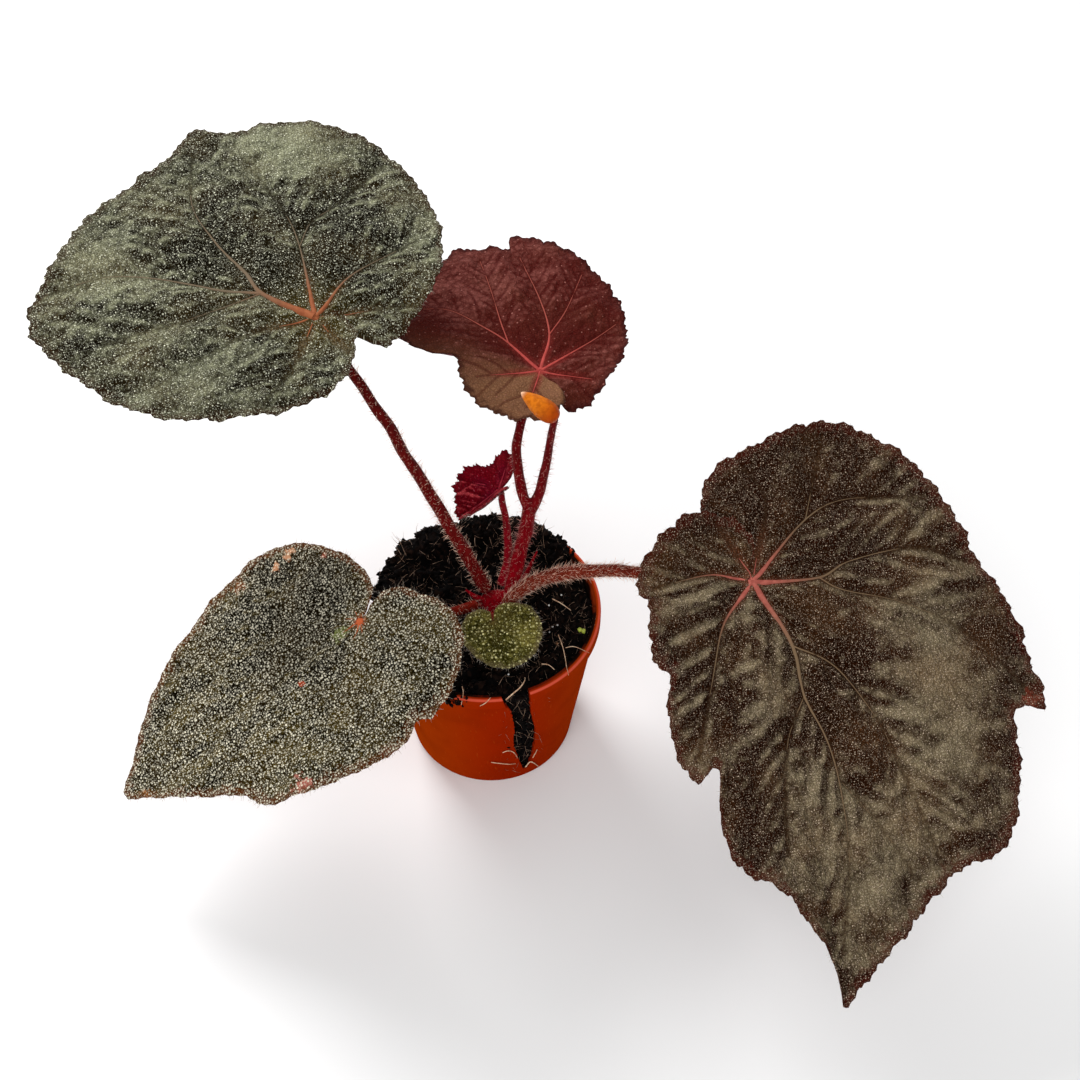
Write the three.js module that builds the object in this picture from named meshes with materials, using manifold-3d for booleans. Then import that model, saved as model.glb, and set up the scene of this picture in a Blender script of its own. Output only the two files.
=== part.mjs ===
// A young begonia in a small nursery pot with a split front wall: six leaves on their own stalks, a forked
// stem with a bud, and peat that stands a little proud of the rim.
// Millimetres, +Z up, origin at the middle of the pot's underside, the split in the pot faces -Y.

import * as THREE from "three";
import { mergeVertices } from "three/addons/utils/BufferGeometryUtils.js";
import Module from "manifold-3d";

const wasm = await Module();
wasm.setup();

// Pot
const potHeight = 60;
const potRimRadius = 35; // outside of the lip
const potBaseRadius = 26.5;
const potWall = 1.2;
const potFloor = 1.6;
const lipHeight = 4.5;
const lipStep = 1.2; // how far the lip stands out of the wall below it
const lipSlope = 1; // height over which the wall bends out to the lip
const edgeRound = 0.6;
const potSegments = 56;
const drainHoles = { count: 6, radius: 2.6, circle: 17, sides: 12 };
const split = { heading: 18.5, depth: 20 }; // degrees from -Y towards +X, and how deep the cut reaches
const splitLeft = [[-6.4, 62], [-5.9, 58], [-3.4, 51], [-1.8, 39], [-2, 27], [0.2, 14], [2.2, 5]];
const splitRight = [[4, 5], [5, 13], [5.6, 22], [5.4, 32], [3.4, 45], [2.3, 58], [2.3, 62]];

// Soil
const gap = 0.3; // between neighbouring pieces
const soilLevel = 57.4;
const soilSegments = 44;
const soilRings = [0.2, 0.4, 0.58, 0.75, 0.89, 1];
const crumbs = { rise: 0.5, along: 0.62, across: 0.55 }; // small unevenness, and its waves in radians a mm
const soilLumps = [
  { x: -27, y: 14, rise: 4.6, spread: 8 },
  { x: -16, y: 27, rise: 4.4, spread: 7 },
  { x: 0, y: 30, rise: 4.2, spread: 7 },
  { x: 19, y: 25, rise: 2.6, spread: 6 },
  { x: -31, y: -3, rise: 3.8, spread: 6 },
  { x: -21, y: -22, rise: 3, spread: 6 },
  { x: 3, y: -27, rise: 1.6, spread: 6 },
  { x: 27, y: 6, rise: -1.8, spread: 9 },
  { x: 16, y: -8, rise: -1.2, spread: 8 },
];
const clodDepth = 4.8; // half the size of a clod across the rim
const clodSegments = { around: 8, down: 5 };
// Peat that lies over the rim at the back: heading from +X, reach of the middle, half width, rise
const clods = [
  [187, 30.4, 5.6, 2.2], [172, 31.2, 6.4, 2.6], [157, 31.8, 6, 2.3], [140, 32, 7, 3.2], [127, 31.6, 6, 3.5],
  [113, 30.6, 6.4, 2.4], [100, 30.6, 5.6, 3], [90, 30.8, 6, 3.7], [76, 31, 5.8, 2.5], [62, 31, 6.6, 2.2],
  [48, 30.6, 5.4, 1.6],
];

// Stems: the crown in the soil, and each path from the crown outwards
const crown = {
  at: [3.2, 3.2, 57.5], size: [6.4, 4.8, 3.6], around: 14, down: 9, stubRadius: 3, stubTaper: 0.7, stubEnd: 44,
};
const stemSides = 9;
const stemStep = 7; // length of one facet along a stem
const stemLeastSteps = 4;
const mainStem = {
  path: [[6.6, 4.2, 57], [7.9, 7.4, 63], [9.9, 11.2, 73], [11.9, 12, 84], [13, 12.4, 93]],
  radii: [3, 2.6, 2.5, 2.5, 2.4],
};
const leftArm = {
  path: [
    [12.9, 12.4, 91], [10.6, 14.7, 99], [9.5, 17.3, 107.5], [9.3, 20, 114], [11.6, 26.5, 121],
    [15.3, 33.7, 125.8],
  ],
  radii: [1.9, 1.8, 1.7, 1.6, 1.5],
};
const rightArm = {
  path: [[13, 12.4, 91], [15.7, 12.3, 99], [17.7, 13.4, 109], [18.8, 13.9, 119.5], [20.3, 12.6, 131.4]],
  radii: [2.1, 1.7, 1.4, 1.2],
};
const sprout = { path: [[7, 6.5, 57.5], [11.6, 12.4, 60.5], [15.3, 17.4, 66]], radii: [1, 0.9, 0.4] };
const stipule = { path: [[1, 3, 58.5], [-3.4, 2.6, 61.2], [-7, 4.4, 63]], radii: [1.5, 1.2, 0.4] };

const stalks = {
  stalk_upper_left: {
    path: [
      [-1, 6.6, 61], [-4, 7.6, 69], [-9.6, 9.2, 84], [-18.8, 10.8, 108], [-29, 12.2, 135],
      [-38.6, 15.9, 154],
    ],
    to: "blade_upper_left",
    radii: [2.4, 2.2, 2, 1.7, 1.4],
  },
  stalk_right: {
    path: [
      [5.6, -0.4, 62.4], [11, 1.6, 67.4], [18, 2.4, 72], [28, 1, 76.5], [38.5, -2, 80.5],
      [50, -5.4, 83.5], [66, -9.6, 85.6],
    ],
    to: "blade_right",
    radii: [2.2, 2.5, 2.4, 2.1, 1.9, 1.7, 1.6],
  },
  stalk_lower_left: {
    path: [[-3.6, 0.2, 60.6], [-11.5, -3.6, 62], [-20.4, -7.4, 64.4], [-30, -12.4, 68.6]],
    to: "blade_lower_left",
    radii: [1.9, 1.7, 1.6, 1.5],
  },
  stalk_small_green: {
    path: [[1.6, -2.6, 59.6], [1.7, -6.4, 61.2]],
    to: "blade_small_green",
    radii: [1.2, 1, 0.9],
  },
  stalk_small_red: {
    path: [[4.2, 8.6, 60.4], [6.1, 12.8, 67.5], [6.1, 17.2, 77], [4.6, 20.8, 85]],
    to: "blade_small_red",
    radii: [1.8, 1.6, 1.3, 1.1],
  },
};

// Leaves. at is where the stalk meets the blade. heading (0 = +X, 90 = +Y), pitch and roll turn the midrib.
// An outline runs round from one side of the notch to the other, as [degrees from the midrib, reach].
// Positive degrees lie to the midrib's right, and past 180 the lobes overlap. Veins are written the same way.
const leaves = {
  blade_upper_left: {
    at: [-44.4, 20, 163], heading: 118, pitch: 8, roll: -4,
    hub: 2, thickness: 0.9, columns: 100, rings: [1, 0.94, 0.83, 0.71, 0.59, 0.47, 0.35, 0.23, 0.12, 0],
    coarser: [3, 6], teeth: 50, tooth: 1.3, openTo: 8, open: 0.82,
    cup: 0.1, sag: 0.0014,
    lifts: [[60, 150, -0.2], [-185, -262, 0.24]],
    pillow: 1.9, valley: 5, pleat: 0.45, waves: 5, wave: 1.2,
    outline: [
      [136, 5], [149, 10], [151, 15], [146, 18.5], [124, 22.4], [101, 30.4], [81, 42], [59, 55.5],
      [39, 68.5], [21, 74.5], [2, 74], [-1, 78.5], [-6, 76.5], [-11, 72.5], [-33, 70], [-50, 70.5],
      [-71, 74], [-91, 62.5], [-107, 54.5], [-122, 45.5], [-141, 35], [-165, 26], [-184, 20.3],
      [-207, 14], [-232, 9.8], [-255, 7], [-274, 5],
    ],
    veins: [
      [[-37, 3], [-39, 16], [-28, 24], [-23, 37], [-17, 52], [-6, 70]],
      [[-39, 16], [-49, 26], [-51, 43], [-55, 56], [-63, 72]],
      [[-39, 16], [-62, 24], [-73, 36], [-79, 56]],
      [[17, 3], [14, 25], [11, 38], [5, 58]],
      [[14, 25], [22, 34], [33, 43], [42, 62]],
      [[57, 3], [57, 18], [68, 40]],
      [[98, 3], [99, 20], [101, 28]],
      [[-90, 3], [-90, 20], [-99, 47]],
      [[-140, 3], [-138, 20], [-134, 34]],
      [[-196, 3], [-192, 16]],
    ],
  },
  blade_burgundy: {
    at: [16.1, 34.5, 128], heading: 112, pitch: 5, roll: -3,
    hub: 2, thickness: 0.85, columns: 80, rings: [1, 0.93, 0.79, 0.64, 0.48, 0.32, 0.16, 0],
    coarser: [3, 5], teeth: 40, tooth: 1.5, openTo: 7, open: 0.88,
    cup: 0.1, sag: 0.002, lifts: [[100, 187, -0.25], [-120, -200, 0.1]],
    pillow: 1.3, valley: 4, pleat: 0.3, waves: 4, wave: 1,
    outline: [
      [187, 6.5], [172, 12.5], [152, 17], [123, 19.5], [100, 24.5], [81, 30.3], [61, 38], [41, 46],
      [29, 51], [16, 54.5], [11.5, 53.8], [11, 49.5], [2, 51.5], [-6, 55], [-19, 50], [-31, 45.8],
      [-49, 43.8], [-58, 40.5], [-62, 33], [-62.5, 26.5], [-65, 24.3], [-72, 24.3], [-87, 23.7],
      [-105, 22.5], [-122, 21.8], [-137, 21.8], [-149, 20.8], [-163, 20.5], [-177, 17], [-188, 14],
      [-196, 10.5], [-200, 6],
    ],
    veins: [
      [[-22, 3], [-22, 13.6], [-25, 22], [-29, 34], [-36, 41]],
      [[-22, 13.6], [-10, 23], [-3, 37], [-1, 47]],
      [[33, 3], [33, 14], [22, 27], [14, 45]],
      [[33, 14], [40, 25], [40, 41]],
      [[72, 3], [73, 19], [71, 30]],
      [[124, 3], [121, 16]],
      [[-82, 3], [-82, 19]],
      [[-146, 3], [-144, 15.5]],
    ],
  },
  blade_right: {
    at: [77.3, -14.8, 92], heading: -80, pitch: -24, roll: 4,
    hub: 2, thickness: 0.9, columns: 124,
    rings: [1, 0.95, 0.87, 0.78, 0.69, 0.6, 0.51, 0.42, 0.33, 0.24, 0.14, 0],
    coarser: [4, 7], teeth: 62, tooth: 1.5, openTo: 9, open: 0.86,
    cup: 0.12, sag: 0.0012,
    lifts: [[105, 180, 0.17], [-150, -205, -0.13]],
    pillow: 2.4, valley: 5.5, pleat: 0.5, waves: 6, wave: 1.6,
    outline: [
      [193, 7.5], [184, 14], [165, 20], [144, 26], [120, 30], [102, 33.5], [88, 34.5], [86, 32],
      [70, 36.5], [55, 39.5], [51, 38], [43, 47], [34, 57], [27, 61.5], [22, 56], [20, 68], [15, 81.5],
      [6, 88], [1.8, 98], [-1.2, 108], [-1.3, 121], [-5, 115.5], [-13, 107], [-25, 99.5],
      [-34, 103], [-44, 94.5], [-55.5, 84], [-58.8, 92.8], [-66, 85.3], [-77, 77.8], [-88, 68.5],
      [-105, 63.5], [-123, 61.3], [-140, 57], [-153, 50], [-166, 42], [-186, 36], [-202, 27.5],
      [-211, 16], [-213, 6],
    ],
    veins: [
      [[-26, 3], [-23, 16], [-19, 25], [-13, 36], [-14, 50], [-12, 64], [-8, 84], [-3, 107]],
      [[-21, 22], [-33, 31], [-34, 40], [-31, 56], [-26, 80], [-24, 95]],
      [[-13, 62], [-17, 78], [-19, 95]],
      [[-13, 36], [-1, 47], [3, 63], [4, 78]],
      [[-79, 3], [-86, 20], [-94, 30], [-94, 50], [-88, 65]],
      [[-86, 20], [-77, 27], [-74, 45], [-68, 66], [-60, 88]],
      [[-125, 3], [-130, 25], [-122, 39], [-108, 58]],
      [[-130, 25], [-139, 36], [-144, 50]],
      [[112, 3], [106, 13], [92, 30]],
      [[40, 3], [43, 16], [33, 31], [28, 56]],
      [[172, 3], [155, 19]],
      [[-154, 3], [-160, 24], [-174, 34]],
    ],
  },
  blade_lower_left: {
    at: [-37.2, -16.7, 75], heading: -154, pitch: -23, roll: 3,
    hub: 2, thickness: 0.85, columns: 72, rings: [1, 0.93, 0.81, 0.68, 0.55, 0.42, 0.29, 0.15, 0],
    coarser: [3, 6], teeth: 36, tooth: 0.7, openTo: 8, open: 0.96,
    cup: 0.06, sag: 0.0016,
    pillow: 0.9, valley: 4.5, pleat: 0.35, waves: 5, wave: 0.9,
    outline: [
      [154, 5], [136, 12], [108, 21.7], [84, 34.6], [67, 44.7], [50, 52], [34, 59], [22, 68.4], [12, 77],
      [5, 83.4], [0, 90.2], [-4, 83], [-14, 69.4], [-24, 61], [-34, 59.4], [-44, 53], [-61, 47],
      [-80, 43], [-91, 38.3], [-100, 39.8], [-120, 38], [-140, 33.3], [-156, 26.7], [-170, 20],
      [-184, 16], [-197, 11], [-202, 6],
    ],
    veins: [
      [[2, 3], [0, 25], [-1, 56], [0, 84]],
      [[94, 3], [87, 17], [76, 28], [57, 43]],
      [[54, 3], [38, 24], [22, 60]],
      [[-50, 3], [-35, 26], [-26, 57]],
      [[-78, 3], [-68, 33], [-60, 43]],
      [[-116, 3], [-114, 25], [-108, 36]],
      [[-168, 3], [-146, 27]],
    ],
  },
  blade_small_green: {
    at: [1.9, -10.5, 66], heading: -85, pitch: -10, roll: 0,
    hub: 1.2, thickness: 0.8, columns: 28, rings: [1, 0.84, 0.6, 0.35, 0],
    coarser: [3], teeth: 14, tooth: 0.3, openTo: 4, open: 0.97,
    cup: 0.08, sag: 0.004,
    pillow: 0.4, valley: 2.5, waves: 3, wave: 0.3,
    outline: [
      [172, 3.6], [137, 6], [105, 8.3], [70, 11], [23, 13.2], [-10, 15.6], [-42, 16.2], [-77, 15],
      [-110, 12.3], [-141, 8], [-164, 5.3], [-172, 3.2],
    ],
    veins: [
      [[0, 2], [-5, 14]],
      [[60, 2], [55, 10]],
      [[-60, 2], [-55, 14]],
      [[-120, 2], [-112, 10]],
    ],
  },
  blade_small_red: {
    at: [3.8, 22, 90], heading: -162, pitch: -31, roll: 0,
    hub: 1.3, thickness: 1, columns: 36, rings: [1, 0.84, 0.6, 0.35, 0],
    coarser: [3], teeth: 18, tooth: 0.9, openTo: 4, open: 1,
    cup: 0, sag: 0, fold: 1,
    pillow: 0.3, valley: 1.6, pleat: 0.15, waves: 3, wave: 0.3,
    outline: [
      [166, 5.7], [161, 9.8], [150, 10.9], [135, 9.6], [116, 7], [101, 6.2], [84, 7.3], [61, 9.6],
      [40, 11.6], [20, 13.8], [0, 16], [-20, 12.6], [-40, 9.8], [-61, 7.4], [-84, 5.6], [-112, 4.4],
      [-140, 3.8], [-160, 3.4],
    ],
    veins: [
      [[0, 2], [0, 15]],
      [[45, 4], [40, 11]],
      [[-45, 4], [-40, 11]],
      [[140, 2], [146, 9]],
    ],
  },
};

// Bud: a pointed sheath that lies across the top of the right arm
const bud = {
  from: [20.9, 10.8, 133.4],
  to: [10.8, 16.3, 138.2],
  fattest: 2.9,
  blunt: 0.75, // 1 is a plain sine, less is fuller
  lean: 0.8, // under 1 the fattest place moves towards the stem
  taper: 0.25,
  rings: 12,
  sides: 12,
};

// How every blade is made
const hubInset = 0.65; // the blade's inmost ring, as a share of the hub's radius
const hubSegments = { around: 10, down: 6 };
const stalkGap = 0.39; // from the hub to the end of the stalk
const pillowGrowth = 14; // the pillows between the veins have their full rise this far from the stalk
const pillowFade = 0.6; // the share of it that they lose at the margin
const foldRound = 1; // how softly a folded blade turns along its midrib
const leastTurn = 0.05; // degrees between one column and the next, so that no two cross

const mergeWithin = 1e-4;
const radians = THREE.MathUtils.degToRad;
const vector = (p) => new THREE.Vector3(...p);

function smooth(x) {
  const t = Math.min(1, Math.max(0, x));
  return t * t * (3 - 2 * t);
}

// A solid from corner points and triangles that face outwards
function solidOf(points, triangles) {
  const vertProperties = new Float32Array(points.flatMap((p) => [p.x, p.y, p.z]));
  const triVerts = new Uint32Array(triangles.flat());
  return new wasm.Manifold(new wasm.Mesh({ numProp: 3, vertProperties, triVerts }));
}

function solidOfGeometry(geometry) {
  const bare = geometry.clone();
  bare.deleteAttribute("normal");
  bare.deleteAttribute("uv");
  const merged = mergeVertices(bare, mergeWithin);
  return new wasm.Manifold(
    new wasm.Mesh({
      numProp: 3,
      vertProperties: new Float32Array(merged.attributes.position.array),
      triVerts: new Uint32Array(merged.index.array),
    }),
  );
}

function joined(solids) {
  return solids.reduce((sum, next) => sum.add(next));
}

const plant = new THREE.Group();

function addPiece(name, solid, look) {
  const { vertProperties, triVerts } = solid.getMesh();
  const geometry = new THREE.BufferGeometry();
  geometry.setAttribute("position", new THREE.BufferAttribute(vertProperties, 3));
  geometry.setIndex(new THREE.BufferAttribute(triVerts, 1));
  geometry.computeVertexNormals();
  const mesh = new THREE.Mesh(geometry, new THREE.MeshStandardMaterial(look));
  mesh.name = name;
  plant.add(mesh);
}

const wallTop = potHeight - lipHeight;
const wallRadius = (z) => {
  const top = potRimRadius - lipStep;
  return potBaseRadius + ((top - potBaseRadius) * z) / wallTop;
};
const innerRadius = (z) => wallRadius(Math.min(z, wallTop)) - potWall;

function potSolid() {
  const rim = potRimRadius;
  const profile = [
    [0, 0],
    [potBaseRadius - edgeRound, 0],
    [potBaseRadius, edgeRound],
    [wallRadius(wallTop - lipSlope), wallTop - lipSlope],
    [rim - edgeRound, wallTop],
    [rim, wallTop + edgeRound],
    [rim, potHeight - edgeRound],
    [rim - edgeRound, potHeight],
    [innerRadius(wallTop) + edgeRound, potHeight],
    [innerRadius(wallTop), potHeight - 2 * edgeRound],
    [innerRadius(wallTop), wallTop],
    [innerRadius(potFloor), potFloor],
    [0, potFloor],
  ].map(([r, z]) => new THREE.Vector2(r, z));
  const shell = new THREE.LatheGeometry(profile, potSegments).rotateX(Math.PI / 2);
  let pot = solidOfGeometry(shell);
  for (let i = 0; i < drainHoles.count; i++) {
    const turn = (2 * Math.PI * (i + 0.5)) / drainHoles.count;
    const { radius, circle, sides } = drainHoles;
    const hole = new THREE.CylinderGeometry(radius, radius, 2 * (potFloor + gap), sides)
      .rotateX(Math.PI / 2)
      .translate(circle * Math.cos(turn), circle * Math.sin(turn), 0);
    pot = pot.subtract(solidOfGeometry(hole));
  }
  const tear = new THREE.Shape([...splitLeft, ...splitRight].map(([x, z]) => new THREE.Vector2(x, z)));
  const cut = new THREE.ExtrudeGeometry(tear, { depth: split.depth, bevelEnabled: false })
    .rotateX(Math.PI / 2)
    .translate(0, -(potBaseRadius - split.depth / 2), 0)
    .rotateZ(radians(split.heading));
  return pot.subtract(solidOfGeometry(cut));
}

function soilHeight(x, y) {
  const rough = Math.sin(crumbs.along * x) * Math.cos(crumbs.across * y) + Math.sin(crumbs.along * (y - x));
  const lumps = soilLumps.reduce(
    (sum, l) => sum + l.rise * Math.exp(-((x - l.x) ** 2 + (y - l.y) ** 2) / l.spread ** 2),
    0,
  );
  return soilLevel + crumbs.rise * rough + lumps;
}

const soilEdge = innerRadius(soilLevel) - gap;

// A lump of peat across the rim, flat where it lies on it
function clodSolid([heading, reach, width, rise]) {
  const lump = new THREE.SphereGeometry(1, clodSegments.around, clodSegments.down)
    .rotateX(Math.PI / 2)
    .scale(clodDepth, width, rise)
    .translate(reach, 0, potHeight + gap)
    .rotateZ(radians(heading));
  return solidOfGeometry(lump);
}

function rimRoom() {
  const outside = 2 * potRimRadius;
  const profile = [
    [soilEdge, 0],
    [outside, 0],
    [outside, potHeight + gap],
    [soilEdge, potHeight + gap],
    [soilEdge, 0],
  ].map(([r, z]) => new THREE.Vector2(r, z));
  return solidOfGeometry(new THREE.LatheGeometry(profile, soilSegments).rotateX(Math.PI / 2));
}

function soilSolid(hole) {
  const bottom = potFloor + gap;
  const points = [new THREE.Vector3(0, 0, soilHeight(0, 0))];
  const ring = (radius, heightOf) => {
    for (let k = 0; k < soilSegments; k++) {
      const a = (2 * Math.PI * k) / soilSegments;
      const x = radius * Math.cos(a);
      const y = radius * Math.sin(a);
      points.push(new THREE.Vector3(x, y, heightOf(x, y)));
    }
  };
  soilRings.forEach((share) => ring(share * soilEdge, soilHeight));
  ring(innerRadius(bottom) - gap, () => bottom);
  const rows = soilRings.length + 1;
  points.push(new THREE.Vector3(0, 0, bottom));
  const at = (row, k) => 1 + row * soilSegments + (k % soilSegments);
  const triangles = [];
  for (let k = 0; k < soilSegments; k++) {
    triangles.push([0, at(0, k), at(0, k + 1)]);
    for (let row = 0; row < rows - 1; row++) {
      triangles.push([at(row, k), at(row + 1, k), at(row + 1, k + 1)]);
      triangles.push([at(row, k), at(row + 1, k + 1), at(row, k + 1)]);
    }
    triangles.push([points.length - 1, at(rows - 1, k + 1), at(rows - 1, k)]);
  }
  const lumps = joined(clods.map(clodSolid)).subtract(rimRoom());
  return solidOf(points, triangles).add(lumps).subtract(hole);
}

// A tapering stem along a smooth path; extra widens it, to cut the room that a neighbour needs
function limb({ path, radii }, extra = 0) {
  const curve = new THREE.CatmullRomCurve3(path.map(vector), false, "catmullrom");
  const steps = Math.max(stemLeastSteps, Math.round(curve.getLength() / stemStep));
  const frames = curve.computeFrenetFrames(steps, false);
  const points = [];
  for (let i = 0; i <= steps; i++) {
    const centre = curve.getPointAt(i / steps);
    const place = (i / steps) * (radii.length - 1);
    const step = Math.min(Math.floor(place), radii.length - 2);
    const radius = THREE.MathUtils.lerp(radii[step], radii[step + 1], place - step) + extra;
    for (let k = 0; k < stemSides; k++) {
      const a = (2 * Math.PI * k) / stemSides;
      points.push(
        centre
          .clone()
          .addScaledVector(frames.normals[i], radius * Math.cos(a))
          .addScaledVector(frames.binormals[i], radius * Math.sin(a)),
      );
    }
  }
  const triangles = [];
  const at = (i, k) => i * stemSides + (k % stemSides);
  for (let i = 0; i < steps; i++) {
    for (let k = 0; k < stemSides; k++) {
      triangles.push([at(i, k), at(i, k + 1), at(i + 1, k + 1)]);
      triangles.push([at(i, k), at(i + 1, k + 1), at(i + 1, k)]);
    }
  }
  for (let k = 1; k < stemSides - 1; k++) {
    triangles.push([at(0, 0), at(0, k + 1), at(0, k)]);
    triangles.push([at(steps, 0), at(steps, k), at(steps, k + 1)]);
  }
  return solidOf(points, triangles);
}

function crownSolid(extra = 0) {
  const [x, y, z] = crown.at;
  const knob = new THREE.SphereGeometry(1, crown.around, crown.down)
    .scale(...crown.size.map((half) => half + extra))
    .translate(x, y, z);
  const foot = crown.stubEnd - extra;
  const stub = {
    path: [[x, y, z], [x, y, (z + foot) / 2], [x, y, foot]],
    radii: [crown.stubRadius, crown.stubRadius * crown.stubTaper],
  };
  return solidOfGeometry(knob).add(limb(stub, extra));
}

function mainStemSolid(extra = 0) {
  const arms = [mainStem, leftArm, rightArm, sprout, stipule].map((part) => limb(part, extra));
  return joined([crownSolid(extra), ...arms]);
}

// The blade's own axes: across (to the midrib's right), along (the midrib) and up
function axesOf({ heading, pitch, roll }) {
  const h = radians(heading);
  const p = radians(pitch);
  const along = new THREE.Vector3(Math.cos(p) * Math.cos(h), Math.cos(p) * Math.sin(h), Math.sin(p));
  const level = new THREE.Vector3(Math.sin(h), -Math.cos(h), 0);
  const across = level.clone().applyAxisAngle(along, -radians(roll));
  return { across, along, up: across.clone().cross(along) };
}

// A point of the blade's plane from its degrees off the midrib and its reach
function inPlane([degrees, reach]) {
  return [reach * Math.sin(radians(degrees)), reach * Math.cos(radians(degrees))];
}

// Margin samples at equal steps: the unwrapped angle off the midrib, and the reach without and with teeth
function marginOf({ outline, columns, teeth, tooth }) {
  const plane = outline.map((point) => new THREE.Vector3(...inPlane(point), 0));
  const curve = new THREE.CatmullRomCurve3(plane, false, "catmullrom");
  curve.arcLengthDivisions = 10 * columns;
  let angle = outline[0][0] + leastTurn;
  return curve.getSpacedPoints(columns).map((p, k) => {
    const plain = THREE.MathUtils.radToDeg(Math.atan2(p.x, p.y));
    const unwrapped = plain + 360 * Math.round((angle - plain) / 360);
    angle = Math.min(unwrapped, angle - leastTurn);
    const share = k / columns;
    const crest = Math.abs(((share * teeth + 0.5) % 1) - 0.5) * 2; // 0 between teeth, 1 on a tooth's point
    return { angle, reach: p.length(), toothed: p.length() + tooth * (crest - 0.5), share };
  });
}

function distanceToVeins(veins, x, y) {
  let nearest = Infinity;
  for (const vein of veins) {
    for (let i = 1; i < vein.length; i++) {
      const [ax, ay] = vein[i - 1];
      const [bx, by] = vein[i];
      const length2 = (bx - ax) ** 2 + (by - ay) ** 2;
      const t = Math.min(1, Math.max(0, ((x - ax) * (bx - ax) + (y - ay) * (by - ay)) / length2));
      nearest = Math.min(nearest, Math.hypot(x - ax - t * (bx - ax), y - ay - t * (by - ay)));
    }
  }
  return nearest;
}

// Height of the blade above its own plane: its broad form, the pillows between the veins, and its waved edge
function bladeHeight(leaf, veins, { angle, share, distance, ring, x, y }) {
  const { cup, sag, fold = 0, lifts = [], pillow, valley, pleat = 0, waves, wave, teeth } = leaf;
  let height = cup * distance - sag * distance ** 2 + fold * (Math.hypot(x, foldRound) - foldRound);
  for (const [from, to, slope] of lifts) height += slope * distance * smooth((angle - from) / (to - from));
  const clear = 1 - Math.exp(-((distanceToVeins(veins, x, y) / valley) ** 2));
  height += pillow * clear * smooth(distance / pillowGrowth) * (1 - pillowFade * ring ** 3);
  height += pleat * Math.sin(Math.PI * teeth * share) * ring ** 2;
  return height + wave * Math.sin(radians(waves * angle)) * ring ** 3;
}

function bladeSolid(leaf) {
  const { across, along, up } = axesOf(leaf);
  const margin = marginOf(leaf);
  const middle = (margin[0].angle + margin[leaf.columns].angle) / 2;
  const inmost = leaf.hub * hubInset;
  const veins = leaf.veins.map((vein) => vein.map(inPlane));
  const sheet = []; // points of the middle surface
  const number = new Map();
  const stepOf = (row) => 2 ** leaf.coarser.filter((r) => row >= r).length;
  leaf.rings.forEach((ring, row) => {
    for (let k = 0; k <= leaf.columns; k += stepOf(row)) {
      const { angle, reach, toothed, share } = margin[k];
      const distance = inmost + ((row === 0 ? toothed : reach) - inmost) * ring;
      const spread = leaf.open + (1 - leaf.open) * smooth(distance / leaf.openTo);
      const turned = radians(middle + (angle - middle) * spread);
      const x = distance * Math.sin(turned);
      const y = distance * Math.cos(turned);
      const height = bladeHeight(leaf, veins, { angle, share, distance, ring, x, y });
      number.set(`${row},${k}`, sheet.length);
      const place = vector(leaf.at).addScaledVector(across, x).addScaledVector(along, y);
      sheet.push(place.addScaledVector(up, height));
    }
  });
  const at = (row, k) => number.get(`${row},${k}`);
  const faces = [];
  for (let row = 0; row < leaf.rings.length - 1; row++) {
    const step = stepOf(row);
    const next = stepOf(row + 1);
    for (let k = 0; k < leaf.columns; k += next) {
      if (next > step) faces.push([at(row, k), at(row, k + step), at(row + 1, k)]);
      const mid = next > step ? k + step : k;
      faces.push([at(row, mid), at(row, k + next), at(row + 1, k + next)]);
      faces.push([at(row, mid), at(row + 1, k + next), at(row + 1, k)]);
    }
  }
  const half = leaf.thickness / 2;
  const top = sheet.map((p) => p.clone().addScaledVector(up, half));
  const under = sheet.map((p) => p.clone().addScaledVector(up, -half));
  const count = sheet.length;
  const edges = new Set(faces.flatMap(([a, b, c]) => [`${a},${b}`, `${b},${c}`, `${c},${a}`]));
  const walls = [];
  for (const edge of edges) {
    const [a, b] = edge.split(",").map(Number);
    if (!edges.has(`${b},${a}`)) walls.push([b, a, a + count], [b, a + count, b + count]);
  }
  const back = faces.map(([a, b, c]) => [a + count, c + count, b + count]);
  const hub = new THREE.SphereGeometry(leaf.hub, hubSegments.around, hubSegments.down).translate(...leaf.at);
  return solidOf([...top, ...under], [...faces, ...back, ...walls]).add(solidOfGeometry(hub));
}

// A stalk's path ends just under the blade's hub
function stalkTo(stalk) {
  const leaf = leaves[stalk.to];
  const last = vector(stalk.path.at(-1));
  const joint = vector(leaf.at);
  const below = axesOf(leaf).up.multiplyScalar(-1);
  const arrive = last.clone().sub(joint).normalize().add(below).normalize();
  const end = joint.addScaledVector(arrive, leaf.hub + stalkGap);
  return { path: [...stalk.path, end.toArray()], radii: stalk.radii };
}

function budSolid() {
  const from = vector(bud.from);
  const axis = vector(bud.to).sub(from);
  const length = axis.length();
  const profile = [new THREE.Vector2(0, 0)];
  for (let i = 1; i < bud.rings; i++) {
    const t = i / bud.rings;
    const width = Math.sin(Math.PI * t ** bud.lean) ** bud.blunt * (1 - bud.taper * t);
    profile.push(new THREE.Vector2(bud.fattest * width, t * length));
  }
  profile.push(new THREE.Vector2(0, length));
  const sheath = new THREE.LatheGeometry(profile, bud.sides);
  const turn = new THREE.Quaternion().setFromUnitVectors(new THREE.Vector3(0, 1, 0), axis.normalize());
  return solidOfGeometry(sheath.applyQuaternion(turn).translate(...bud.from));
}

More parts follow.
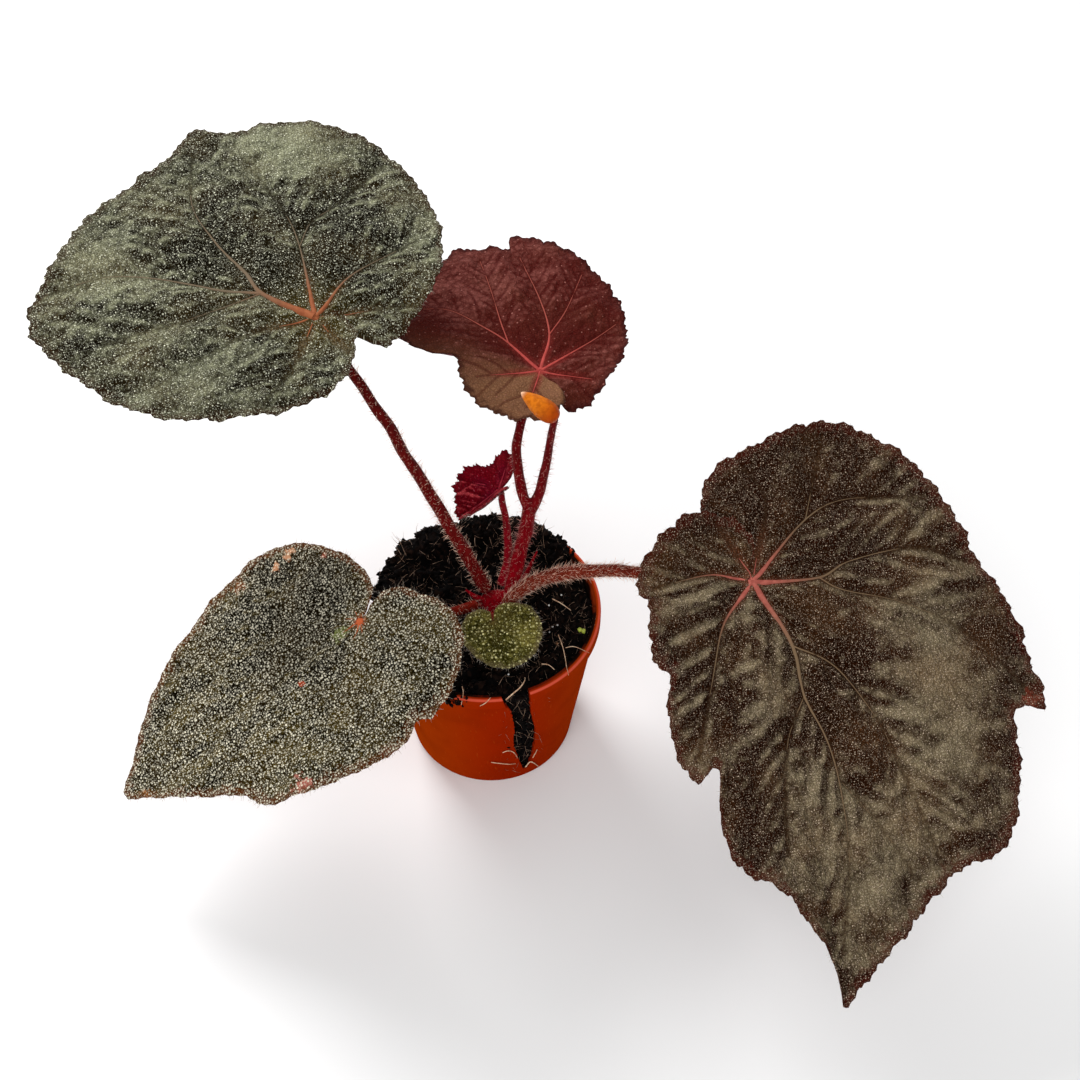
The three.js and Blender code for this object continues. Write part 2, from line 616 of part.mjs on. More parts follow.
const looks = {
  pot: { color: 0x9a3c0a, roughness: 0.45, metalness: 0 },
  soil: { color: 0x17110d, roughness: 1, metalness: 0 },
  main_stem: { color: 0x7c1c1e, roughness: 0.5, metalness: 0 },
  stalk: { color: 0x7a2a24, roughness: 0.55, metalness: 0 },
  blade_upper_left: { color: 0x696f62, roughness: 0.6, metalness: 0 },
  blade_burgundy: { color: 0x5a2426, roughness: 0.55, metalness: 0 },
  blade_right: { color: 0x4b4235, roughness: 0.6, metalness: 0 },
  blade_lower_left: { color: 0x5a5f55, roughness: 0.65, metalness: 0 },
  blade_small_green: { color: 0x5a653c, roughness: 0.65, metalness: 0 },
  blade_small_red: { color: 0x6d1730, roughness: 0.6, metalness: 0 },
  bud: { color: 0xb4561c, roughness: 0.45, metalness: 0 },
};

addPiece("pot", potSolid(), looks.pot);
addPiece("soil", soilSolid(mainStemSolid(gap)), looks.soil);
addPiece("main_stem", mainStemSolid(), looks.main_stem);

let taken = mainStemSolid(gap);
for (const [name, stalk] of Object.entries(stalks)) {
  const whole = stalkTo(stalk);
  addPiece(name, limb(whole).subtract(taken), looks.stalk);
  taken = taken.add(limb(whole, gap));
}
for (const [name, leaf] of Object.entries(leaves)) addPiece(name, bladeSolid(leaf), looks[name]);
addPiece("bud", budSolid().subtract(mainStemSolid(gap)), looks.bud);

export default plant;
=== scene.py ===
import math

import bmesh
import bpy
import numpy as np
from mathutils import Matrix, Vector, noise
from mathutils.kdtree import KDTree


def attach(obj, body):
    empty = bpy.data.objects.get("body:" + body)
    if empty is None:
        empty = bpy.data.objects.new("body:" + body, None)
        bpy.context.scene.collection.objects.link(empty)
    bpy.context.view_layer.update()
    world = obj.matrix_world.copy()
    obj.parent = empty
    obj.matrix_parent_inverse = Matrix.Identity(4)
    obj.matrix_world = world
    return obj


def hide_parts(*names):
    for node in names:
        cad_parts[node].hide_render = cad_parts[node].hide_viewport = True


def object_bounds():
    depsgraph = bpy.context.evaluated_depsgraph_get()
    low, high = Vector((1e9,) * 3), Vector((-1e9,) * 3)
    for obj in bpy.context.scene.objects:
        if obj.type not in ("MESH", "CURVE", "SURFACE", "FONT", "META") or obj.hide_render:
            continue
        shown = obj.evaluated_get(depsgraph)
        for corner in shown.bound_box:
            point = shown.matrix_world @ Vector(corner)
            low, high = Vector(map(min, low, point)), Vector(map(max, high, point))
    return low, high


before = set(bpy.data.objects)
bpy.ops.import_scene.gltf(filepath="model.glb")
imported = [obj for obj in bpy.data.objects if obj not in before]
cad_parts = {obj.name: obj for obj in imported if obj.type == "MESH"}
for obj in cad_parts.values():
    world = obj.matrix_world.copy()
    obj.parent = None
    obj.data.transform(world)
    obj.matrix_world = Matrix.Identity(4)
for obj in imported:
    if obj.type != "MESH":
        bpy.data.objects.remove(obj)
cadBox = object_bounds()

# A young begonia in a split nursery pot: leaves, veins, hairs, stems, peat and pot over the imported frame.
# Outlines and paths repeat part.mjs in millimetres, and meshes are made in metres in the same frame.
mm = 0.001
gap = 0.3  # between the peat and the pot, in millimetres
radians = math.radians
collection = bpy.context.scene.collection


def smooth(x):
    t = np.clip(x, 0, 1)
    return t * t * (3 - 2 * t)


def srgb(red, green, blue):
    shares = (red / 255, green / 255, blue / 255)
    return (*(s / 12.92 if s <= 0.04045 else ((s + 0.055) / 1.055) ** 2.4 for s in shares), 1)


# Catmull-Rom through the points, at count + 1 places with equal steps between them
def smoothPath(points, count, fine=24):
    p = np.array(points, float)
    p = np.vstack([2 * p[0] - p[1], p, 2 * p[-1] - p[-2]])
    t = (np.arange(fine) / fine)[:, None]
    spans = []
    for before, a, b, after in zip(p, p[1:], p[2:], p[3:]):
        leave = (b - before) / 2
        arrive = (after - a) / 2
        spans.append(
            (2 * t**3 - 3 * t**2 + 1) * a + (t**3 - 2 * t**2 + t) * leave
            + (3 * t**2 - 2 * t**3) * b + (t**3 - t**2) * arrive
        )
    curve = np.vstack([*spans, p[-2:-1]])
    along = np.concatenate([[0], np.cumsum(np.linalg.norm(np.diff(curve, axis=0), axis=1))])
    where = np.linspace(0, along[-1], count + 1)
    return np.column_stack([np.interp(where, along, axis) for axis in curve.T])


def pathLength(points):
    fine = smoothPath(points, 60)
    return np.linalg.norm(np.diff(fine, axis=0), axis=1).sum()


# Values given at equal steps, read at as many places as a path has
def spreadValues(values, count):
    return np.interp(np.linspace(0, 1, count), np.linspace(0, 1, len(values)), values)


def storeValues(mesh, name, values):
    mesh.attributes.new(name, "FLOAT", "POINT").data.foreach_set("value", np.asarray(values, np.float32))


def newMesh(name, points, faces, edges=()):
    mesh = bpy.data.meshes.new(name)
    mesh.from_pydata(np.asarray(points).tolist(), list(edges), faces)
    mesh.update()
    return mesh


def addPiece(name, mesh, nodes=()):
    mesh.name = name
    mesh.shade_smooth()
    piece = bpy.data.objects.new(name, mesh)
    collection.objects.link(piece)
    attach(piece, "root")
    if nodes:
        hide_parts(*nodes)
    return piece


# Quads between rings of points, whose first point has the number given
def ringFaces(rings, sides, first=0):
    faces = []
    for i in range(rings - 1):
        for k in range(sides):
            a = first + i * sides + k
            b = first + i * sides + (k + 1) % sides
            faces.append((a, b, b + sides, a + sides))
    return faces


# Faces of a turned shape: a first point, rings of points and a last point
def turnedFaces(rings, sides):
    faces = ringFaces(rings, sides, 1)
    lastRing = 1 + (rings - 1) * sides
    faces += [(0, 1 + (k + 1) % sides, 1 + k) for k in range(sides)]
    faces += [(lastRing + sides, lastRing + k, lastRing + (k + 1) % sides) for k in range(sides)]
    return faces


# The mesh that an object's modifiers give, with the object and its modifiers gone
def bakedMesh(source):
    bpy.context.view_layer.update()
    evaluated = source.evaluated_get(bpy.context.evaluated_depsgraph_get())
    mesh = bpy.data.meshes.new_from_object(evaluated)
    source.modifiers.clear()
    bpy.data.objects.remove(source)
    return mesh


def heldBy(mesh):
    source = bpy.data.objects.new("source", mesh)
    collection.objects.link(source)
    return source


# The mesh that a node tree makes from a source mesh, with the tree's named inputs set
def grownMesh(mesh, tree, values):
    source = heldBy(mesh)
    modifier = source.modifiers.new("grown", "NODES")
    modifier.node_group = tree
    for item in tree.interface.items_tree:
        if item.in_out == "INPUT" and item.name in values:
            modifier[item.identifier] = values[item.name]
    return bakedMesh(source)


# A new node with its settings made, and its inputs set or linked
def put(tree, kind, values=None, **settings):
    node = tree.nodes.new(kind)
    for key, value in settings.items():
        setattr(node, key, value)
    for key, value in (values or {}).items():
        if isinstance(value, bpy.types.NodeSocket):
            tree.links.new(value, node.inputs[key])
        else:
            node.inputs[key].default_value = value
    return node


def maths(tree, operation, a, b=0.0):
    return put(tree, "ShaderNodeMath", {0: a, 1: b}, operation=operation).outputs[0]


def times(tree, a, b):
    return maths(tree, "MULTIPLY", a, b)


def plus(tree, a, b):
    return maths(tree, "ADD", a, b)


def minus(tree, a, b):
    return maths(tree, "SUBTRACT", a, b)


def vectorMaths(tree, operation, a, b):
    return put(tree, "ShaderNodeVectorMath", {0: a, 1: b}, operation=operation).outputs[0]


def scaled(tree, vector, amount):
    return put(tree, "ShaderNodeVectorMath", {0: vector, "Scale": amount}, operation="SCALE").outputs[0]


def joined(tree, x, y, z):
    return put(tree, "ShaderNodeCombineXYZ", {0: x, 1: y, 2: z}).outputs[0]


# What is stored on the source mesh under a name
def stored(tree, name, kind="FLOAT"):
    return put(tree, "GeometryNodeInputNamedAttribute", {"Name": name}, data_type=kind).outputs[0]


def randomNumber(tree, least, most, seed):
    values = {2: least, 3: most, "Seed": seed}
    return put(tree, "FunctionNodeRandomValue", values, data_type="FLOAT").outputs[1]


def randomVector(tree, least, most, seed):
    values = {0: least, 1: most, "Seed": seed}
    return put(tree, "FunctionNodeRandomValue", values, data_type="FLOAT_VECTOR").outputs[0]


def rotationOf(tree, angles):
    return put(tree, "FunctionNodeEulerToRotation", {0: angles}).outputs[0]


# A round rod along a curve, with its ends closed
def rod(tree, curve, sides, thickness):
    ring = put(tree, "GeometryNodeCurvePrimitiveCircle", {"Resolution": sides, "Radius": 1.0}).outputs[0]
    values = {"Curve": curve, "Profile Curve": ring, "Scale": thickness, "Fill Caps": True}
    return put(tree, "GeometryNodeCurveToMesh", values).outputs[0]


# Points all over the source mesh, as thickly as its stored mask lets them stand
def spotsOver(tree, given, mask):
    density = times(tree, given["Density"], stored(tree, mask))
    values = {"Mesh": given["Source"], "Density": density, "Seed": given["Seed"]}
    return put(tree, "GeometryNodeDistributePointsOnFaces", values).outputs


def setOnSpots(tree, spots, shape, rotation, scale):
    values = {"Points": spots["Points"], "Instance": shape, "Rotation": rotation, "Scale": scale}
    return put(tree, "GeometryNodeInstanceOnPoints", values).outputs[0]


def newTree(name, inputs):
    tree = bpy.data.node_groups.new(name, "GeometryNodeTree")
    face = tree.interface
    face.new_socket(name="Source", in_out="INPUT", socket_type="NodeSocketGeometry")
    for label, kind in inputs.items():
        face.new_socket(name=label, in_out="INPUT", socket_type="NodeSocket" + kind)
    face.new_socket(name="Result", in_out="OUTPUT", socket_type="NodeSocketGeometry")
    given = tree.nodes.new("NodeGroupInput").outputs
    return tree, given, tree.nodes.new("NodeGroupOutput").inputs[0]


def endTree(tree, geometry, given, result):
    real = put(tree, "GeometryNodeRealizeInstances", {0: geometry}).outputs[0]
    even = put(tree, "GeometryNodeSetShadeSmooth", {0: real}).outputs[0]
    done = put(tree, "GeometryNodeSetMaterial", {0: even, "Material": given["Material"]}).outputs[0]
    tree.links.new(done, result)


# Round limbs along loose edges, as thick as the attribute thickness says
def makeLimbTree():
    tree, given, result = newTree("limbs", {"Sides": "Int", "Material": "Material"})
    line = put(tree, "GeometryNodeMeshToCurve", {0: given["Source"]}).outputs[0]
    endTree(tree, rod(tree, line, given["Sides"], stored(tree, "thickness")), given, result)
    return tree


# One hair of length 1, bent at its tip, with its foot a little under the surface
hairForm = {
    "sides": 3, "steps": 3, "foot": (0, 0, -0.06), "middle": (0, 0, 0.6), "tip": (0.3, 0, 1), "taper": 0.85,
}


# Bent hairs that stand on a surface where the attribute hairy says
def makeHairTree():
    inputs = {
        "Density": "Float", "Seed": "Int", "Length": "Float", "Spread": "Float",
        "Thickness": "Float", "Lean": "Float", "Sweep": "Float", "Material": "Material",
    }
    tree, given, result = newTree("hairs", inputs)
    spots = spotsOver(tree, given, "hairy")
    bend = put(tree, "GeometryNodeCurveQuadraticBezier", {
        "Resolution": hairForm["steps"], "Start": hairForm["foot"], "Middle": hairForm["middle"],
        "End": hairForm["tip"],
    }).outputs[0]
    factor = tree.nodes.new("GeometryNodeSplineParameter").outputs["Factor"]
    taper = minus(tree, 1.0, times(tree, factor, hairForm["taper"]))
    hair = rod(tree, bend, hairForm["sides"], times(tree, taper, given["Thickness"]))
    swept = scaled(tree, stored(tree, "grow", "FLOAT_VECTOR"), given["Sweep"])
    away = vectorMaths(tree, "ADD", spots["Normal"], swept)
    upright = put(tree, "FunctionNodeAlignRotationToVector", {"Vector": away}, axis="Z").outputs[0]
    lean = given["Lean"]
    back = times(tree, lean, -1.0)
    most = joined(tree, lean, lean, 2 * math.pi)
    turn = randomVector(tree, joined(tree, back, back, 0.0), most, given["Seed"])
    leaning = {"Rotation": upright, "Rotate By": rotationOf(tree, turn)}
    rotation = put(tree, "FunctionNodeRotateRotation", leaning, rotation_space="LOCAL").outputs[0]
    shorter = minus(tree, 1.0, given["Spread"])
    longer = plus(tree, 1.0, given["Spread"])
    size = times(tree, randomNumber(tree, shorter, longer, given["Seed"]), given["Length"])
    hairs = setOnSpots(tree, spots, hair, rotation, joined(tree, size, size, size))
    endTree(tree, hairs, given, result)
    return tree


grainForm = {
    "lumpScale": 1.4, "lumpDepth": 1.5, "smallShare": 4.0,
    "leastSquash": (0.6, 0.6, 0.45), "mostSquash": (1.2, 1.2, 1),
}


# Rough grains on a surface where the attribute loose says, many small and few large
def makeGrainTree():
    inputs = {
        "Density": "Float", "Seed": "Int", "Smallest": "Float", "Largest": "Float",
        "Facets": "Int", "Material": "Material",
    }
    tree, given, result = newTree("grains", inputs)
    spots = spotsOver(tree, given, "loose")
    facets = {"Radius": 1.0, "Subdivisions": given["Facets"]}
    ball = put(tree, "GeometryNodeMeshIcoSphere", facets).outputs[0]
    place = tree.nodes.new("GeometryNodeInputPosition").outputs[0]
    cloud = {"Vector": place, "Scale": grainForm["lumpScale"], "Detail": 1.0}
    dent = minus(tree, put(tree, "ShaderNodeTexNoise", cloud).outputs[0], 0.5)
    offset = scaled(tree, place, times(tree, dent, grainForm["lumpDepth"]))
    grain = put(tree, "GeometryNodeSetPosition", {0: ball, "Offset": offset}).outputs[0]
    turn = randomVector(tree, (0, 0, 0), (6.28, 6.28, 6.28), given["Seed"])
    share = maths(tree, "POWER", randomNumber(tree, 0.0, 1.0, given["Seed"]), grainForm["smallShare"])
    wider = minus(tree, given["Largest"], given["Smallest"])
    size = plus(tree, given["Smallest"], times(tree, wider, share))
    squash = randomVector(tree, grainForm["leastSquash"], grainForm["mostSquash"], given["Seed"])
    grains = setOnSpots(tree, spots, grain, rotationOf(tree, turn), scaled(tree, squash, size))
    endTree(tree, grains, given, result)
    return tree


limbTree = makeLimbTree()
hairTree = makeHairTree()
grainTree = makeGrainTree()


# A mesh's shells melted into one skin of small squares, in millimetres
def melted(mesh, square, smoothings=0):
    source = heldBy(mesh)
    melt = source.modifiers.new("melt", "REMESH")
    melt.mode = "VOXEL"
    melt.voxel_size = square * mm
    if smoothings:
        even = source.modifiers.new("even", "SMOOTH")
        even.factor = 0.5
        even.iterations = smoothings
    return bakedMesh(source)


# Loose edges along paths, each a (points, radii, fade) with points and radii in millimetres
def pathMesh(paths):
    points = np.vstack([np.asarray(p) for p, _, _ in paths]) * mm
    edges = []
    first = 0
    for p, _, _ in paths:
        edges += [(first + i, first + i + 1) for i in range(len(p) - 1)]
        first += len(p)
    mesh = newMesh("paths", points, [], edges)
    grow = np.vstack([np.gradient(np.asarray(p), axis=0) for p, _, _ in paths])
    grow /= np.linalg.norm(grow, axis=1)[:, None]
    data = mesh.attributes.new("grow", "FLOAT_VECTOR", "POINT").data
    data.foreach_set("vector", grow.ravel().astype(np.float32))
    storeValues(mesh, "thickness", np.concatenate([r for _, r, _ in paths]) * mm)
    storeValues(mesh, "fade", np.concatenate([f for _, _, f in paths]))
    return mesh


def mixed(tree, share, a, b, kind="MIX"):
    return put(tree, "ShaderNodeMix", {0: share, 6: a, 7: b}, data_type="RGBA", blend_type=kind).outputs[2]


# A colour with some of another, given as red, green and blue, over it
def tinted(tree, share, colour, tint):
    return mixed(tree, share, colour, srgb(*tint))


def ramp(tree, value, start, end, low=0.0, high=1.0):
    values = {"Value": value, "From Min": start, "From Max": end, "To Min": low, "To Max": high}
    return put(tree, "ShaderNodeMapRange", values, interpolation_type="SMOOTHSTEP").outputs[0]


def attribute(tree, name):
    return put(tree, "ShaderNodeAttribute", attribute_name=name).outputs["Fac"]


def objectPlace(tree):
    return tree.nodes.new("ShaderNodeTexCoord").outputs["Object"]


def newGroup(name, inputs, outputs):
    tree = bpy.data.node_groups.new(name, "ShaderNodeTree")
    tree.interface.new_socket(name="Vector", in_out="INPUT", socket_type="NodeSocketVector")
    for label in inputs:
        tree.interface.new_socket(name=label, in_out="INPUT", socket_type="NodeSocketFloat")
    for label in outputs:
        tree.interface.new_socket(name=label, in_out="OUTPUT", socket_type="NodeSocketFloat")
    return tree, tree.nodes.new("NodeGroupInput").outputs, tree.nodes.new("NodeGroupOutput").inputs


def useGroup(tree, group, vector, values):
    node = put(tree, "ShaderNodeGroup", node_tree=group)
    tree.links.new(vector, node.inputs["Vector"])
    for label, value in values.items():
        node.inputs[label].default_value = value
    return node.outputs


# Pale flecks: one in each cell that the draw keeps, of its own size
def makeFleckGroup():
    tree, given, out = newGroup("flecks", ("Cells", "Size", "Cover"), ("Mask",))
    cells = put(
        tree, "ShaderNodeTexVoronoi", {"Vector": given["Vector"], "Scale": given["Cells"]},
        voronoi_dimensions="2D",
    )
    draw = put(tree, "ShaderNodeSeparateColor", {0: cells.outputs["Color"]}).outputs
    share = plus(tree, times(tree, draw[0], 0.7), 0.4)
    size = times(tree, given["Size"], share)
    inner = times(tree, size, 0.55)
    inside = ramp(tree, cells.outputs["Distance"], inner, size, 1.0, 0.0)
    kept = maths(tree, "LESS_THAN", draw[1], given["Cover"])
    bright = plus(tree, times(tree, draw[2], 0.65), 0.35)
    tree.links.new(times(tree, times(tree, inside, kept), bright), out["Mask"])
    return tree


# Small raised cells between the finest veins, and the net of those veins
def makeQuiltGroup():
    tree, given, out = newGroup("quilt", ("Cells",), ("Height", "Net"))
    cloud = {"Vector": given["Vector"], "Scale": 0.35, "Detail": 2.0}
    warp = put(tree, "ShaderNodeTexNoise", cloud).outputs[1]
    bent = vectorMaths(tree, "ADD", given["Vector"], scaled(tree, warp, 2.4))
    edge = put(
        tree, "ShaderNodeTexVoronoi", {"Vector": bent, "Scale": given["Cells"]},
        voronoi_dimensions="2D", feature="DISTANCE_TO_EDGE",
    ).outputs["Distance"]
    tree.links.new(ramp(tree, edge, 0.0, 0.42), out["Height"])
    tree.links.new(ramp(tree, edge, 0.03, 0.1, 1.0, 0.0), out["Net"])
    return tree


# Soft uneven patches between 0 and 1
def makeMottleGroup():
    tree, given, out = newGroup("mottle", ("Scale", "Low", "High"), ("Value",))
    cloud = put(
        tree, "ShaderNodeTexNoise", {"Vector": given["Vector"], "Scale": given["Scale"], "Detail": 4.0},
    ).outputs[0]
    tree.links.new(ramp(tree, cloud, given["Low"], given["High"]), out["Value"])
    return tree


fleckGroup = makeFleckGroup()
quiltGroup = makeQuiltGroup()
mottleGroup = makeMottleGroup()


def mottled(tree, vector, scale, low, high):
    return useGroup(tree, mottleGroup, vector, {"Scale": scale, "Low": low, "High": high})["Value"]


def flecked(tree, vector, form):
    cells, size, cover = form
    return useGroup(tree, fleckGroup, vector, {"Cells": cells, "Size": size, "Cover": cover})["Mask"]


def newMaterial(name, values):
    material = bpy.data.materials.new(name)
    material.use_nodes = True
    tree = material.node_tree
    shader = tree.nodes["Principled BSDF"]
    for label, value in values.items():
        shader.inputs[label].default_value = value
    return material, tree, shader.inputs


def bumped(tree, sockets, height, distance):
    bump = put(tree, "ShaderNodeBump", {"Height": height, "Distance": distance * mm, "Strength": 1.0})
    tree.links.new(bump.outputs[0], sockets["Normal"])


print("trees and groups made")


